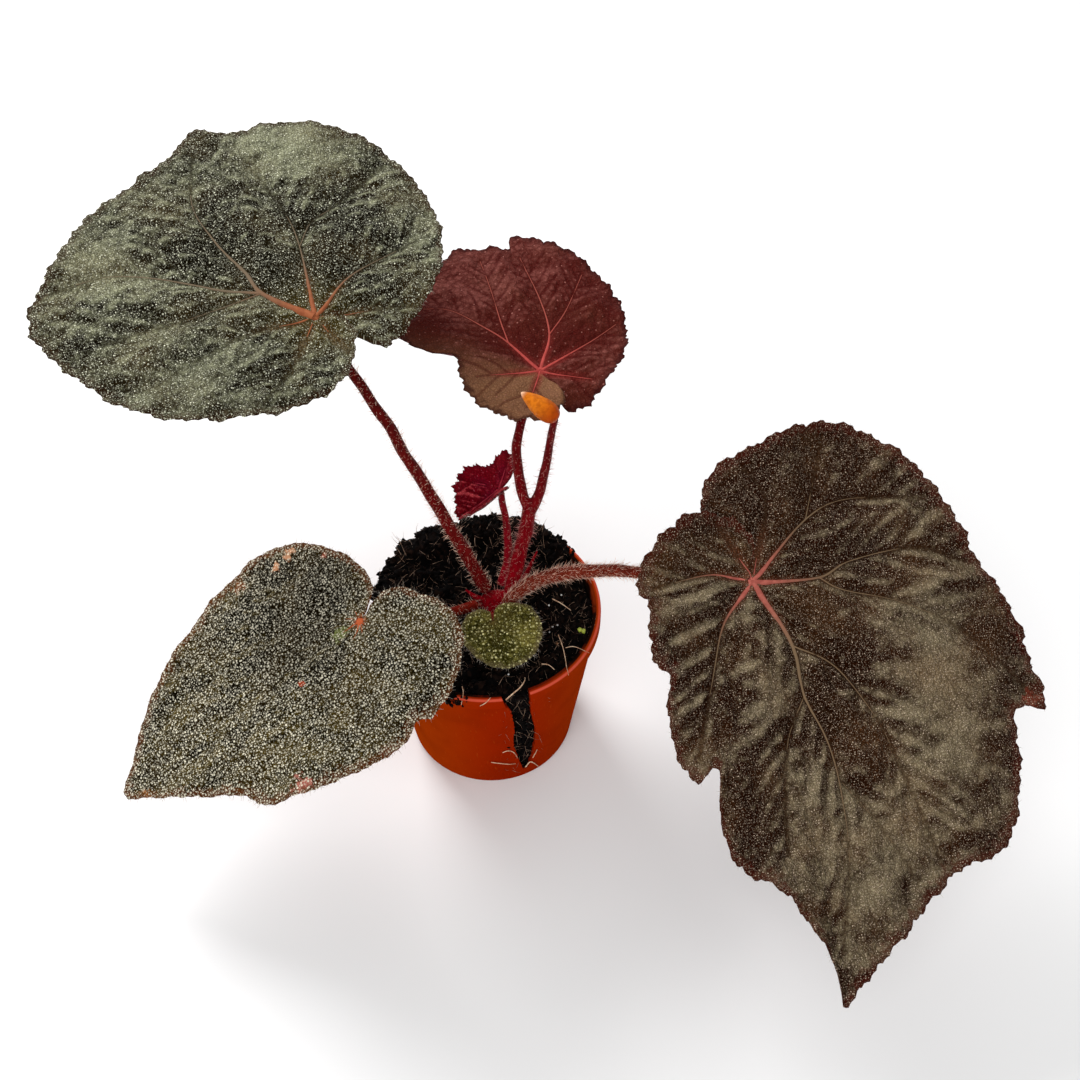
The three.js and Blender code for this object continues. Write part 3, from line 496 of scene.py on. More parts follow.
# Leaves, in millimetres and degrees from the midrib. Outlines, main veins and broad forms are part.mjs's.
# Tones are light (+) and dark (-) patches as (degrees, reach, size, amount), and the blade lies flatter in
# the calm places, which are (degrees, reach, size). A vein's form is its radius at the hub and how far it
# shows. Colours are red, green and blue from 0 to 255. The two sizes of pale specks, flecks and fine, are
# (cells a millimetre, size, cover).
leafShine = 0.03
leaves = {
    "upper_left": {
        "at": (-44.4, 20, 163), "heading": 118, "pitch": 8, "roll": -4,
        "hub": 2, "thickness": 0.9, "teeth": 50, "tooth": 1.3, "openTo": 8, "open": 0.82,
        "cup": 0.1, "sag": 0.0014, "lifts": ((60, 150, -0.2), (-185, -262, 0.24)),
        "pillow": 1.9, "valley": 5, "pleat": 0.45, "waves": 5, "wave": 1.2,
        "outline": (
            (136, 5), (149, 10), (151, 15), (146, 18.5), (124, 22.4), (101, 30.4), (81, 42), (59, 55.5),
            (39, 68.5), (21, 74.5), (2, 74), (-1, 78.5), (-6, 76.5), (-11, 72.5), (-33, 70), (-50, 70.5),
            (-71, 74), (-91, 62.5), (-107, 54.5), (-122, 45.5), (-141, 35), (-165, 26), (-184, 20.3),
            (-207, 14), (-232, 9.8), (-255, 7), (-274, 5),
        ),
        "veins": (
            ((-37, 3), (-39, 16), (-28, 24), (-23, 37), (-17, 52), (-6, 70)),
            ((-39, 16), (-49, 26), (-51, 43), (-55, 56), (-63, 72)),
            ((-39, 16), (-62, 24), (-73, 36), (-79, 56)),
            ((17, 3), (14, 25), (11, 38), (5, 58)),
            ((14, 25), (22, 34), (33, 43), (42, 62)),
            ((57, 3), (57, 18), (68, 40)),
            ((98, 3), (99, 20), (101, 28)),
            ((-90, 3), (-90, 20), (-99, 47)),
            ((-140, 3), (-138, 20), (-134, 34)),
            ((-196, 3), (-192, 16)),
        ),
        "columns": 430, "rows": 104, "blush": 24,
        "veinForms": (
            (1.7, 56), (1.1, 64), (0.5, 34), (0.9, 38), (0.35, 40), (0.7, 34), (0.4, 16), (0.35, 12),
            (0.25, 8), (0.2, 6),
        ),
        "laterals": {"spacing": 6.2, "turn": 52, "longest": 15, "bend": 0.05, "seed": 3},
        "furrow": 0.95, "groove": 0.9, "cell": 5.4, "puff": 1, "crinkle": 0.4,
        "calm": ((-105, 40, 18), (20, 66, 10)),
        "tones": (
            (-20, 16, 40, 0.2), (-62, 42, 18, 0.14),
            (-11, 16.5, 7, -0.8), (-19, 23.5, 7, -0.9), (-33, 37.6, 8, -0.6), (38, 16.7, 7, -0.8),
            (38, 31.7, 8, -0.6), (-17, 38.4, 6, -0.5), (-9, 50.5, 6, -0.4), (-3, 72, 5, -0.9),
            (-65, 31.4, 9, -0.35), (14, 35.7, 5, -0.4), (-52, 62, 15, 0.5), (11, 63.5, 13, 0.6),
            (22, 60.5, 11, 0.5), (-16, 57, 8, 0.3), (-54, 50.3, 9, 0.3), (66, 46, 12, 0.3),
        ),
        "look": {
            "dark": (24, 19, 6), "light": (160, 162, 132), "warm": (112, 92, 54), "warmShare": 0.35,
            "ground": (110, 106, 90), "uneven": 0.5, "hollow": 0.5, "slope": 0.6, "shade": 0.9,
            "hub": (88, 76, 30), "hubSize": 18, "halo": (100, 74, 44), "haloReach": 24.0,
            "rim": (52, 32, 18), "rimWidth": 2.6, "rimShare": 0.75,
            "fleck": (240, 240, 214), "flecks": (1.35, 0.34, 0.42), "fleckShare": 1.0,
            "fine": (2.6, 0.42, 0.6), "fineShare": 0.5,
            "line": 0.12, "lineColour": (96, 90, 66), "bump": 0.5, "veinClear": 0.7,
            "vein": (152, 90, 58), "veinEnd": (108, 94, 76), "under": (96, 34, 38),
        },
    },
    "burgundy": {
        "at": (16.1, 34.5, 128), "heading": 112, "pitch": 5, "roll": -3,
        "hub": 2, "thickness": 0.85, "teeth": 40, "tooth": 1.5, "openTo": 7, "open": 0.88,
        "cup": 0.1, "sag": 0.002, "lifts": ((100, 187, -0.25), (-120, -200, 0.1)),
        "pillow": 1.3, "valley": 4, "pleat": 0.3, "waves": 4, "wave": 1,
        "outline": (
            (187, 6.5), (172, 12.5), (152, 17), (123, 19.5), (100, 24.5), (81, 30.3), (61, 38), (41, 46),
            (29, 51), (16, 54.5), (11.5, 53.8), (11, 49.5), (2, 51.5), (-6, 55), (-19, 50), (-31, 45.8),
            (-49, 43.8), (-58, 40.5), (-62, 33), (-62.5, 26.5), (-65, 24.3), (-72, 24.3), (-87, 23.7),
            (-105, 22.5), (-122, 21.8), (-137, 21.8), (-149, 20.8), (-163, 20.5), (-177, 17), (-188, 14),
            (-196, 10.5), (-200, 6),
        ),
        "veins": (
            ((-22, 3), (-22, 13.6), (-25, 22), (-29, 34), (-36, 41)),
            ((-22, 13.6), (-10, 23), (-3, 37), (-1, 47)),
            ((33, 3), (33, 14), (22, 27), (14, 45)),
            ((33, 14), (40, 25), (40, 41)),
            ((72, 3), (73, 19), (71, 30)),
            ((124, 3), (121, 16)),
            ((-82, 3), (-82, 19)),
            ((-146, 3), (-144, 15.5)),
        ),
        "columns": 320, "rows": 70, "blush": 30,
        "veinForms": (
            (0.62, 44), (0.4, 48), (0.6, 46), (0.34, 42), (0.5, 32), (0.35, 17), (0.4, 20), (0.3, 15),
        ),
        "laterals": {"spacing": 5, "turn": 52, "longest": 12, "bend": 0.05, "seed": 5},
        "furrow": 0.45, "groove": 0.9, "cell": 3.4, "puff": 0.4, "crinkle": 0.5, "calm": ((-90, 16, 12),),
        "tones": (
            (-30, 15, 7, -0.4), (10, 12, 6, -0.6), (50, 16, 7, -0.5), (-55, 36, 7, -0.7), (-45, 40, 6, -0.5),
            (0, 40, 10, 0.3), (-20, 32, 9, 0.25), (60, 30, 8, -0.3),
        ),
        "look": {
            "dark": (78, 26, 21), "light": (142, 84, 76), "warm": (120, 82, 58), "warmShare": 0.14,
            "ground": (196, 180, 180), "uneven": 0.45, "hollow": 0.4, "slope": 0.4, "shade": 0.4,
            "hub": (170, 40, 48), "hubSize": 3, "halo": (120, 40, 36), "haloReach": 20.0,
            "rim": (44, 12, 12), "rimWidth": 2, "rimShare": 0.75,
            "fleck": (160, 104, 94), "flecks": (0.45, 0.14, 0.4), "fleckShare": 0.8,
            "fine": (1.6, 0.3, 0.4), "fineShare": 0.14,
            "line": 0.5, "lineColour": (70, 16, 14), "bump": 0.22, "veinClear": 1,
            "vein": (176, 74, 68), "veinEnd": (146, 76, 64), "under": (112, 30, 36),
            # One lobe turned another way is painted a lighter brownish olive: a painted sheen
            "lobeSheen": {"from": -42, "to": -100, "colour": (142, 104, 74)},
        },
    },
    "right": {
        "at": (77.3, -14.8, 92), "heading": -80, "pitch": -24, "roll": 4,
        "hub": 2, "thickness": 0.9, "teeth": 62, "tooth": 1.5, "openTo": 9, "open": 0.86,
        "cup": 0.12, "sag": 0.0012, "lifts": ((105, 180, 0.17), (-150, -205, -0.13)),
        "pillow": 2.4, "valley": 5.5, "pleat": 0.5, "waves": 6, "wave": 1.6,
        "outline": (
            (193, 7.5), (184, 14), (165, 20), (144, 26), (120, 30), (102, 33.5), (88, 34.5), (86, 32),
            (70, 36.5), (55, 39.5), (51, 38), (43, 47), (34, 57), (27, 61.5), (22, 56), (20, 68), (15, 81.5),
            (6, 88), (1.8, 98), (-1.2, 108), (-1.3, 121), (-5, 115.5), (-13, 107), (-25, 99.5),
            (-34, 103), (-44, 94.5), (-55.5, 84), (-58.8, 92.8), (-66, 85.3), (-77, 77.8), (-88, 68.5),
            (-105, 63.5), (-123, 61.3), (-140, 57), (-153, 50), (-166, 42), (-186, 36), (-202, 27.5),
            (-211, 16), (-213, 6),
        ),
        "veins": (
            ((-26, 3), (-23, 16), (-19, 25), (-13, 36), (-14, 50), (-12, 64), (-8, 84), (-3, 107)),
            ((-21, 22), (-33, 31), (-34, 40), (-31, 56), (-26, 80), (-24, 95)),
            ((-13, 62), (-17, 78), (-19, 95)),
            ((-13, 36), (-1, 47), (3, 63), (4, 78)),
            ((-79, 3), (-86, 20), (-94, 30), (-94, 50), (-88, 65)),
            ((-86, 20), (-77, 27), (-74, 45), (-68, 66), (-60, 88)),
            ((-125, 3), (-130, 25), (-122, 39), (-108, 58)),
            ((-130, 25), (-139, 36), (-144, 50)),
            ((112, 3), (106, 13), (92, 30)),
            ((40, 3), (43, 16), (33, 31), (28, 56)),
            ((172, 3), (155, 19)),
            ((-154, 3), (-160, 24), (-174, 34)),
        ),
        "columns": 496, "rows": 96, "blush": 24,
        "veinForms": (
            (1.15, 84), (0.6, 60), (0.4, 84), (0.4, 56), (0.95, 50), (0.5, 54), (0.85, 44), (0.35, 42),
            (0.5, 26), (0.8, 40), (0.3, 9), (0.25, 8),
        ),
        "laterals": {"spacing": 7.4, "turn": 50, "longest": 21, "bend": 0.06, "seed": 8},
        "furrow": 1.25, "groove": 1, "cell": 6.4, "puff": 0.8, "crinkle": 0.5,
        "calm": ((-66, 62, 22), (-150, 30, 14)),
        "tones": (
            (177, 23.5, 14, -0.5), (-142, 41.5, 20, -0.7), (-111, 13, 7, -0.8), (-85, 38.5, 7, -0.6),
            (-50, 17.9, 7, -1), (-48, 31, 8, -0.9), (-24, 37.2, 6, -1), (-18, 47, 6, -1), (-24, 57.7, 7, -1),
            (24, 33.6, 6, -0.7), (19, 19.5, 5, -0.6), (-69, 71.3, 10, -0.7), (21, 43.3, 6, -0.7),
            (-3, 46.1, 4, -0.6), (-94, 14.7, 6, -0.6), (13, 66, 12, -0.5), (-50, 84, 10, -0.4),
            (-77, 46.3, 12, 0.42), (-41, 66.9, 14, 0.7), (77, 19.2, 9, 0.4), (5, 33.1, 6, 0.4),
            (-59, 61.4, 12, 0.42), (-72, 18.2, 4, 0.3), (-20, 84, 12, 0.5), (-105, 50, 10, 0.2),
            (-3, 62, 10, 0.5), (-8, 92, 12, 0.6), (-6, 78, 9, 0.4), (-36, 72, 12, 0.35), (-10, 60, 60, 0.2),
            (10, 40, 8, 0.3), (6, 24, 7, 0.35),
        ),
        "look": {
            "dark": (42, 19, 7), "light": (142, 130, 104), "warm": (116, 80, 48), "warmShare": 0.34,
            "ground": (140, 122, 104), "uneven": 0.4, "hollow": 0.45, "slope": 0.5, "shade": 0.9,
            "hub": (150, 76, 56), "hubSize": 4, "halo": (104, 58, 38), "haloReach": 22.0,
            "rim": (66, 22, 14), "rimWidth": 4, "rimShare": 0.75,
            "fleck": (236, 212, 186), "flecks": (1.4, 0.26, 0.42), "fleckShare": 0.85,
            "fine": (2.6, 0.38, 0.6), "fineShare": 0.4,
            "line": 0.15, "lineColour": (100, 84, 62), "bump": 0.5, "veinClear": 0.8,
            "vein": (174, 96, 84), "veinEnd": (112, 92, 70), "under": (100, 34, 36),
            "spots": ((-59, 88, 4, (104, 46, 32)),),
        },
    },
    "lower_left": {
        "at": (-37.2, -16.7, 75), "heading": -154, "pitch": -23, "roll": 3,
        "hub": 2, "thickness": 0.85, "teeth": 36, "tooth": 0.7, "openTo": 8, "open": 0.96,
        "cup": 0.06, "sag": 0.0016, "lifts": (),
        "pillow": 0.9, "valley": 4.5, "pleat": 0.35, "waves": 5, "wave": 0.9,
        "outline": (
            (154, 5), (136, 12), (108, 21.7), (84, 34.6), (67, 44.7), (50, 52), (34, 59), (22, 68.4),
            (12, 77), (5, 83.4), (0, 90.2), (-4, 83), (-14, 69.4), (-24, 61), (-34, 59.4), (-44, 53),
            (-61, 47),
            (-80, 43), (-91, 38.3), (-100, 39.8), (-120, 38), (-140, 33.3), (-156, 26.7), (-170, 20),
            (-184, 16), (-197, 11), (-202, 6),
        ),
        "veins": (
            ((2, 3), (0, 25), (-1, 56), (0, 84)),
            ((94, 3), (87, 17), (76, 28), (57, 43)),
            ((54, 3), (38, 24), (22, 60)),
            ((-50, 3), (-35, 26), (-26, 57)),
            ((-78, 3), (-68, 33), (-60, 43)),
            ((-116, 3), (-114, 25), (-108, 36)),
            ((-168, 3), (-146, 27)),
        ),
        "columns": 360, "rows": 76, "blush": 9,
        "veinForms": ((0.45, 7), (0.3, 4), (0.3, 5), (0.4, 6), (0.3, 4), (0.3, 3), (0.25, 3)),
        "laterals": {"spacing": 7, "turn": 46, "longest": 20, "bend": 0.06, "seed": 11},
        "furrow": 0.5, "groove": 1, "cell": 4, "puff": 0.5, "crinkle": 0.7, "calm": (),
        "tones": (
            (30, 25, 14, -0.3), (70, 20, 10, -0.3), (-30, 45, 14, 0.35), (-70, 30, 12, 0.2),
            (0, 62, 12, 0.25), (-140, 24, 12, 0.3), (20, 18, 12, -0.25), (60, 36, 10, -0.25),
            (100, 20, 10, -0.3),
        ),
        "look": {
            "dark": (16, 10, 0), "light": (110, 94, 44), "warm": (92, 70, 24), "warmShare": 0.4,
            "ground": (110, 102, 80), "uneven": 0.5, "hollow": 0.3, "slope": 0.7, "shade": 0.5,
            "hub": (196, 96, 50), "hubSize": 4, "halo": (90, 76, 40), "haloReach": 12.0,
            "rim": (96, 52, 26), "rimWidth": 3.6, "rimShare": 0.75,
            "fleck": (255, 248, 222), "flecks": (1.3, 0.48, 0.8), "fleckShare": 1.0, "fleckSparse": 0.6,
            "fine": (2.4, 0.44, 0.6), "fineShare": 0.55,
            "line": 0.0, "lineColour": (60, 56, 40), "bump": 0.55, "veinClear": 0,
            "vein": (190, 96, 58), "veinEnd": (84, 74, 44), "under": (120, 44, 36),
            "spots": (
                (-17, 24.6, 1.5, (170, 66, 36)), (-43, 51, 3.4, (196, 116, 100)),
                (75, 36, 2.2, (206, 150, 112)), (66, 37, 2.0, (200, 140, 100)),
                (91, 26.3, 1.2, (160, 70, 50)), (-4, 85, 4, (150, 90, 40)),
                (52, 46, 3, (120, 70, 36)), (-75, 43, 2.6, (88, 36, 22)), (3, 7, 3, (104, 112, 58)),
            ),
        },
    },
    "small_green": {
        "at": (1.9, -10.5, 66), "heading": -85, "pitch": -10, "roll": 0,
        "hub": 1.2, "thickness": 0.8, "teeth": 14, "tooth": 0.3, "openTo": 4, "open": 0.97,
        "cup": 0.08, "sag": 0.004, "lifts": (),
        "pillow": 0.4, "valley": 2.5, "pleat": 0, "waves": 3, "wave": 0.3,
        "outline": (
            (172, 3.6), (137, 6), (105, 8.3), (70, 11), (23, 13.2), (-10, 15.6), (-42, 16.2), (-77, 15),
            (-110, 12.3), (-141, 8), (-164, 5.3), (-172, 3.2),
        ),
        "veins": (
            ((0, 2), (-5, 14)),
            ((60, 2), (55, 10)),
            ((-60, 2), (-55, 14)),
            ((-120, 2), (-112, 10)),
        ),
        "columns": 168, "rows": 30, "blush": 4,
        "veinForms": ((0.3, 7), (0.2, 5), (0.2, 5), (0.2, 4)),
        "laterals": {"spacing": 3, "turn": 46, "longest": 6, "bend": 0.06, "seed": 13},
        "furrow": 0.16, "groove": 0.7, "cell": 2.2, "puff": 0.25, "crinkle": 0.25, "calm": (),
        "tones": ((0, 8, 4, -0.3), (-60, 12, 4, 0.3)),
        "look": {
            "dark": (56, 54, 10), "light": (182, 174, 92), "warm": (130, 104, 50), "warmShare": 0.3,
            "ground": (130, 128, 90), "uneven": 0.55, "hollow": 0.3, "slope": 0.8, "shade": 0.5,
            "hub": (74, 48, 26), "hubSize": 2.5, "halo": (90, 80, 36), "haloReach": 10.0,
            "rim": (104, 92, 66), "rimWidth": 1.6, "rimShare": 0.6,
            "fleck": (250, 244, 176), "flecks": (0.85, 0.36, 0.6), "fleckShare": 0.95,
            "fine": (1.9, 0.36, 0.6), "fineShare": 0.35,
            "line": 0.0, "lineColour": (60, 56, 40), "bump": 0.55, "veinClear": 0.3,
            "vein": (96, 84, 42), "veinEnd": (84, 84, 40), "under": (96, 74, 48),
        },
    },
    "small_red": {
        "at": (3.8, 22, 90), "heading": -162, "pitch": -31, "roll": 0,
        "hub": 1.3, "thickness": 1, "teeth": 18, "tooth": 1.3, "openTo": 4, "open": 1,
        "cup": 0, "sag": 0, "fold": 1, "lifts": (),
        "pillow": 0.3, "valley": 1.6, "pleat": 0.15, "waves": 3, "wave": 0.3,
        "outline": (
            (166, 5.7), (161, 9.8), (150, 10.9), (135, 9.6), (116, 7), (101, 6.2), (84, 7.3), (61, 9.6),
            (40, 11.6), (20, 13.8), (0, 16), (-20, 12.6), (-40, 9.8), (-61, 7.4), (-84, 5.6), (-112, 4.4),
            (-140, 3.8), (-160, 3.4),
        ),
        "veins": (
            ((0, 2), (0, 15)),
            ((45, 4), (40, 11)),
            ((-45, 4), (-40, 11)),
            ((140, 2), (146, 9)),
        ),
        "columns": 180, "rows": 32, "blush": 14,
        "veinForms": ((0.35, 13), (0.25, 9), (0.25, 9), (0.25, 8)),
        "laterals": {"spacing": 2.2, "turn": 48, "longest": 7, "bend": 0.04, "seed": 17},
        "furrow": 0.55, "groove": 0.6, "cell": 1.8, "puff": 0.3, "crinkle": 0.2, "calm": (),
        "tones": ((20, 9, 4, 0.3), (-30, 8, 4, -0.3)),
        "look": {
            "dark": (120, 8, 24), "light": (255, 104, 112), "warm": (200, 48, 56), "warmShare": 0.2,
            "ground": (170, 150, 150), "uneven": 0.5, "hollow": 0.6, "slope": 0.5, "shade": 0.6,
            "hub": (140, 20, 36), "hubSize": 2, "halo": (120, 16, 40), "haloReach": 9.0,
            "rim": (70, 8, 20), "rimWidth": 1.2, "rimShare": 0.6,
            "fleck": (186, 84, 98), "flecks": (0.9, 0.2, 0.3), "fleckShare": 0.8,
            "fine": (1.9, 0.3, 0.3), "fineShare": 0.2,
            "line": 0.3, "lineColour": (60, 4, 16), "bump": 0.4, "veinClear": 0.8,
            "vein": (170, 50, 66), "veinEnd": (136, 34, 52), "under": (128, 30, 50),
        },
    },
}
rearLight = np.array([-0.35, 0.75, 0.56])
hubInset = 0.65
pillowGrowth = 14
pillowFade = 0.6
foldRound = 1
leastTurn = 0.05
toothForm = {"least": 0.45, "most": 1.15, "round": 0.8, "finer": 2.6, "fineShare": 0.24}
# Side veins: ranges for turn, length and the way to the next one, and how near the margin they come
branching = {
    "first": 0.8, "turn": (0.85, 1.15), "length": (0.7, 1.15), "next": (0.8, 1.2), "marginShare": 0.96,
}
# Puffs between the veins: veinRoom and netWidth are shares of a leaf's spacing and cell, and a scale is
# how much of the noise's own space a millimetre takes
quilting = {
    "veinRoom": 0.42, "netWidth": 0.3, "grooveShare": 0.4, "calmShare": 0.8, "least": 0.1,
    "hubReach": 6, "rimShare": 0.5, "patchScale": 0.045, "fineScale": 0.33, "coarseScale": 0.12,
    "fineShare": 0.5, "coarseShare": 2, "crinkleReach": 9, "veinShare": 0.8, "veinWidth": 2,
}
shadeStep = 0.7  # millimetres towards the light
cellUneven = 0.42


def inPlane(point):
    degrees, reach = point
    return reach * math.sin(radians(degrees)), reach * math.cos(radians(degrees))


def axesOf(leaf):
    h = radians(leaf["heading"])
    p = radians(leaf["pitch"])
    along = Vector((math.cos(p) * math.cos(h), math.cos(p) * math.sin(h), math.sin(p)))
    level = Vector((math.sin(h), -math.cos(h), 0))
    turn = -radians(leaf["roll"])
    across = level * math.cos(turn) + along.cross(level) * math.sin(turn)
    up = across.cross(along)
    return np.array(across), np.array(along), np.array(up)


def noiseOver(x, y, scale, seed):
    return np.array([noise.noise((a * scale, b * scale, seed)) for a, b in zip(x, y)])


# How far places of the plane lie from a set of paths
class Nearest:
    def __init__(self, paths, finer=4):
        steps = [np.arange(finer * (len(path) - 1) + 1) / finer for path in paths]
        points = np.vstack([
            np.column_stack([np.interp(step, np.arange(len(path)), path[:, axis]) for axis in (0, 1)])
            for step, path in zip(steps, paths)
        ])
        self.tree = KDTree(len(points))
        for i, (x, y) in enumerate(points):
            self.tree.insert((x, y, 0), i)
        self.tree.balance()

    def distances(self, x, y):
        return np.array([self.tree.find((a, b, 0))[2] for a, b in zip(x, y)])


# Uneven cells of the plane, and how far places lie from the borders between them
class Cells:
    def __init__(self, size, reach, seed):
        rng = np.random.default_rng(seed)
        places = np.arange(-reach, reach, size)
        x, y = (axis.ravel() for axis in np.meshgrid(places, places))
        x = x + rng.uniform(-cellUneven, cellUneven, x.shape) * size
        y = y + rng.uniform(-cellUneven, cellUneven, y.shape) * size
        self.tree = KDTree(len(x))
        for i, (a, b) in enumerate(zip(x, y)):
            self.tree.insert((a, b, 0), i)
        self.tree.balance()

    def borders(self, x, y):
        found = (self.tree.find_n((a, b, 0), 2) for a, b in zip(x, y))
        return np.array([(second[2] - first[2]) / 2 for first, second in found])


# One blade: its plane, its margin, its veins, and how high its surface stands over its plane
class Blade:
    def __init__(self, leaf):
        self.leaf = leaf
        self.across, self.along, self.up = axesOf(leaf)
        self.readMargin()
        self.straight = [np.array([inPlane(p) for p in vein]) for vein in leaf["veins"]]
        self.primaries = [self.drawn(vein) for vein in leaf["veins"]]
        self.laterals = self.branch(**leaf["laterals"])
        self.nearPrimary = Nearest(self.primaries)
        self.nearLateral = Nearest(self.laterals)
        self.cells = Cells(leaf["cell"], self.reach.max() * 1.05, leaf["laterals"]["seed"])

    def readMargin(self):
        leaf = self.leaf
        columns = leaf["columns"]
        points = smoothPath([inPlane(p) for p in leaf["outline"]], columns)
        self.reach = np.hypot(points[:, 0], points[:, 1])
        angle = leaf["outline"][0][0] + leastTurn
        turn = leastTurn / 4
        angles = []
        for x, y in points:
            plain = math.degrees(math.atan2(x, y))
            angle = min(plain + 360 * round((angle - plain) / 360), angle - turn)
            angles.append(angle)
        self.angle = np.array(angles)
        self.middle = (angles[0] + angles[-1]) / 2
        self.share = np.arange(columns + 1) / columns

    # Reach with teeth: each tooth has its own depth, and smaller teeth stand on it
    def toothed(self):
        leaf = self.leaf
        rng = np.random.default_rng(leaf["laterals"]["seed"])
        depths = rng.uniform(toothForm["least"], toothForm["most"], leaf["teeth"] + 1)
        phase = self.share * leaf["teeth"]
        crest = np.abs((phase + 0.5) % 1 - 0.5) * 2
        depth = depths[np.minimum(phase.astype(int), leaf["teeth"])]
        small = np.sin(phase * 2 * np.pi * toothForm["finer"] + rng.uniform(0, 6))
        toothed = self.reach + leaf["tooth"] * (depth * crest ** toothForm["round"] - 0.5)
        return toothed + toothForm["fineShare"] * leaf["tooth"] * small

    # Degrees off the midrib of places in the plane, unwrapped near the degrees given
    def unwrapped(self, x, y, near):
        plain = np.degrees(np.arctan2(x, y))
        return plain + 360 * np.round((near - plain) / 360)

    def spread(self, distance):
        leaf = self.leaf
        return leaf["open"] + (1 - leaf["open"]) * smooth(distance / leaf["openTo"])

    # Reach of the margin, and share of the way round it, for turned degrees
    def marginAt(self, turned, distance):
        angle = self.middle + (turned - self.middle) / self.spread(distance)
        reach = np.interp(-angle, -self.angle, self.reach)
        share = np.interp(-angle, -self.angle, self.share)
        return angle, reach, share

    # A vein through points of the plane as (x, y, degrees), a step a millimetre
    def drawn(self, vein):
        plane = [inPlane(p) for p in vein]
        points = smoothPath(plane, max(6, round(pathLength(plane))))
        near = np.linspace(0, 1, len(points))
        guess = np.interp(near, np.linspace(0, 1, len(vein)), [degrees for degrees, _ in vein])
        return np.column_stack([points, self.unwrapped(points[:, 0], points[:, 1], guess)])

    # Side veins: they leave the primaries in turn, bend outwards, and stop near another vein or the margin
    def branch(self, spacing, turn, longest, bend, seed):
        rng = np.random.default_rng(seed)
        laterals = []
        taken = [(path[:, :2], path) for path in self.primaries]
        for path in self.primaries:
            side = 1
            place = spacing * branching["first"]
            while place < len(path) - 3:
                side = -side
                start = path[int(place)]
                ahead = path[int(place) + 2] - path[int(place)]
                turned = radians(turn * rng.uniform(*branching["turn"]))
                heading = math.atan2(ahead[0], ahead[1]) + side * turned
                step = np.array([math.sin(heading), math.cos(heading)])
                grown = [start]
                for number in range(round(longest * rng.uniform(*branching["length"]))):
                    x, y, degrees = grown[-1]
                    outward = np.array([x, y]) / max(1.0, math.hypot(x, y))
                    step = step * (1 - bend) + outward * bend
                    step /= np.linalg.norm(step)
                    x, y = np.array([x, y]) + step
                    degrees = float(self.unwrapped(x, y, degrees))
                    distance = math.hypot(x, y)
                    _, reach, _ = self.marginAt(degrees, distance)
                    if distance > branching["marginShare"] * reach:
                        break
                    others = [points for points, owner in taken if owner is not path]
                    spans = (np.hypot(points[:, 0] - x, points[:, 1] - y).min() for points in others)
                    clear = min(spans, default=99)
                    if number > 2 and clear < quilting["veinRoom"] * spacing:
                        break
                    grown.append(np.array([x, y, degrees]))
                if len(grown) > 4:
                    laterals.append(np.array(grown))
                    taken.append((laterals[-1][:, :2], None))
                place += spacing * 0.5 * rng.uniform(*branching["next"])
        return laterals

    # Height over the plane: the broad form of the solid, then grooves, puffed cells and small crinkles
    def height(self, x, y, angle, distance, reach, share):
        leaf = self.leaf
        inmost = leaf["hub"] * hubInset
        ring = np.clip((distance - inmost) / (reach - inmost), 0, 1)
        height = leaf["cup"] * distance - leaf["sag"] * distance**2
        height = height + leaf.get("fold", 0) * (np.hypot(x, foldRound) - foldRound)
        for start, end, slope in leaf["lifts"]:
            height += slope * distance * smooth((angle - start) / (end - start))
        nearest = np.full(x.shape, np.inf)
        for vein in self.straight:
            for a, b in zip(vein, vein[1:]):
                dx, dy = b - a
                t = np.clip(((x - a[0]) * dx + (y - a[1]) * dy) / (dx * dx + dy * dy), 0, 1)
                nearest = np.minimum(nearest, np.hypot(x - a[0] - t * dx, y - a[1] - t * dy))
        clear = 1 - np.exp(-((nearest / leaf["valley"]) ** 2))
        height += leaf["pillow"] * clear * smooth(distance / pillowGrowth) * (1 - pillowFade * ring**3)
        height += leaf["pleat"] * np.sin(np.pi * leaf["teeth"] * share) * ring**2
        height += leaf["wave"] * np.sin(np.radians(leaf["waves"] * angle)) * ring**3
        return height + self.relief(x, y, distance, ring)

    # Distances to main and side veins, depth in a vein or in the net, and how strong the relief is there
    def hollows(self, x, y, distance, ring):
        leaf = self.leaf
        primary = self.nearPrimary.distances(x, y)
        lateral = self.nearLateral.distances(x, y)
        border = self.cells.borders(x, y)
        veined = np.exp(-((np.minimum(primary, lateral) / leaf["groove"]) ** 2))
        netted = np.exp(-((border / (quilting["netWidth"] * leaf["cell"])) ** 2)) * (1 - veined)
        lively = np.ones(x.shape)
        for degrees, far, size in leaf["calm"]:
            px, py = inPlane((degrees, far))
            lively -= quilting["calmShare"] * np.exp(-((x - px) ** 2 + (y - py) ** 2) / size**2)
        grow = smooth(distance / quilting["hubReach"]) * (1 - quilting["rimShare"] * ring**5)
        return primary, lateral, veined, netted, grow * np.maximum(lively, quilting["least"])

    def relief(self, x, y, distance, ring):
        leaf = self.leaf
        primary, lateral, veined, netted, grow = self.hollows(x, y, distance, ring)
        seed = leaf["laterals"]["seed"] * 10
        lively = noiseOver(x, y, quilting["patchScale"], seed + 5)
        grow = grow * np.clip(0.9 + 0.6 * lively, 0.6, 1.1)
        fine = noiseOver(x, y, quilting["fineScale"], seed)
        coarse = noiseOver(x, y, quilting["coarseScale"], seed)
        domed = smooth(np.minimum(primary, lateral) / (quilting["veinRoom"] * leaf["laterals"]["spacing"]))
        sunk = -leaf["furrow"] * (quilting["grooveShare"] * veined + 1 - domed) - leaf["puff"] * netted
        free = 1 - quilting["veinShare"] * np.exp(-((primary / quilting["veinWidth"]) ** 2))
        crinkled = leaf["crinkle"] * free * smooth(distance / quilting["crinkleReach"])
        return grow * sunk + crinkled * (quilting["fineShare"] * fine + quilting["coarseShare"] * coarse)
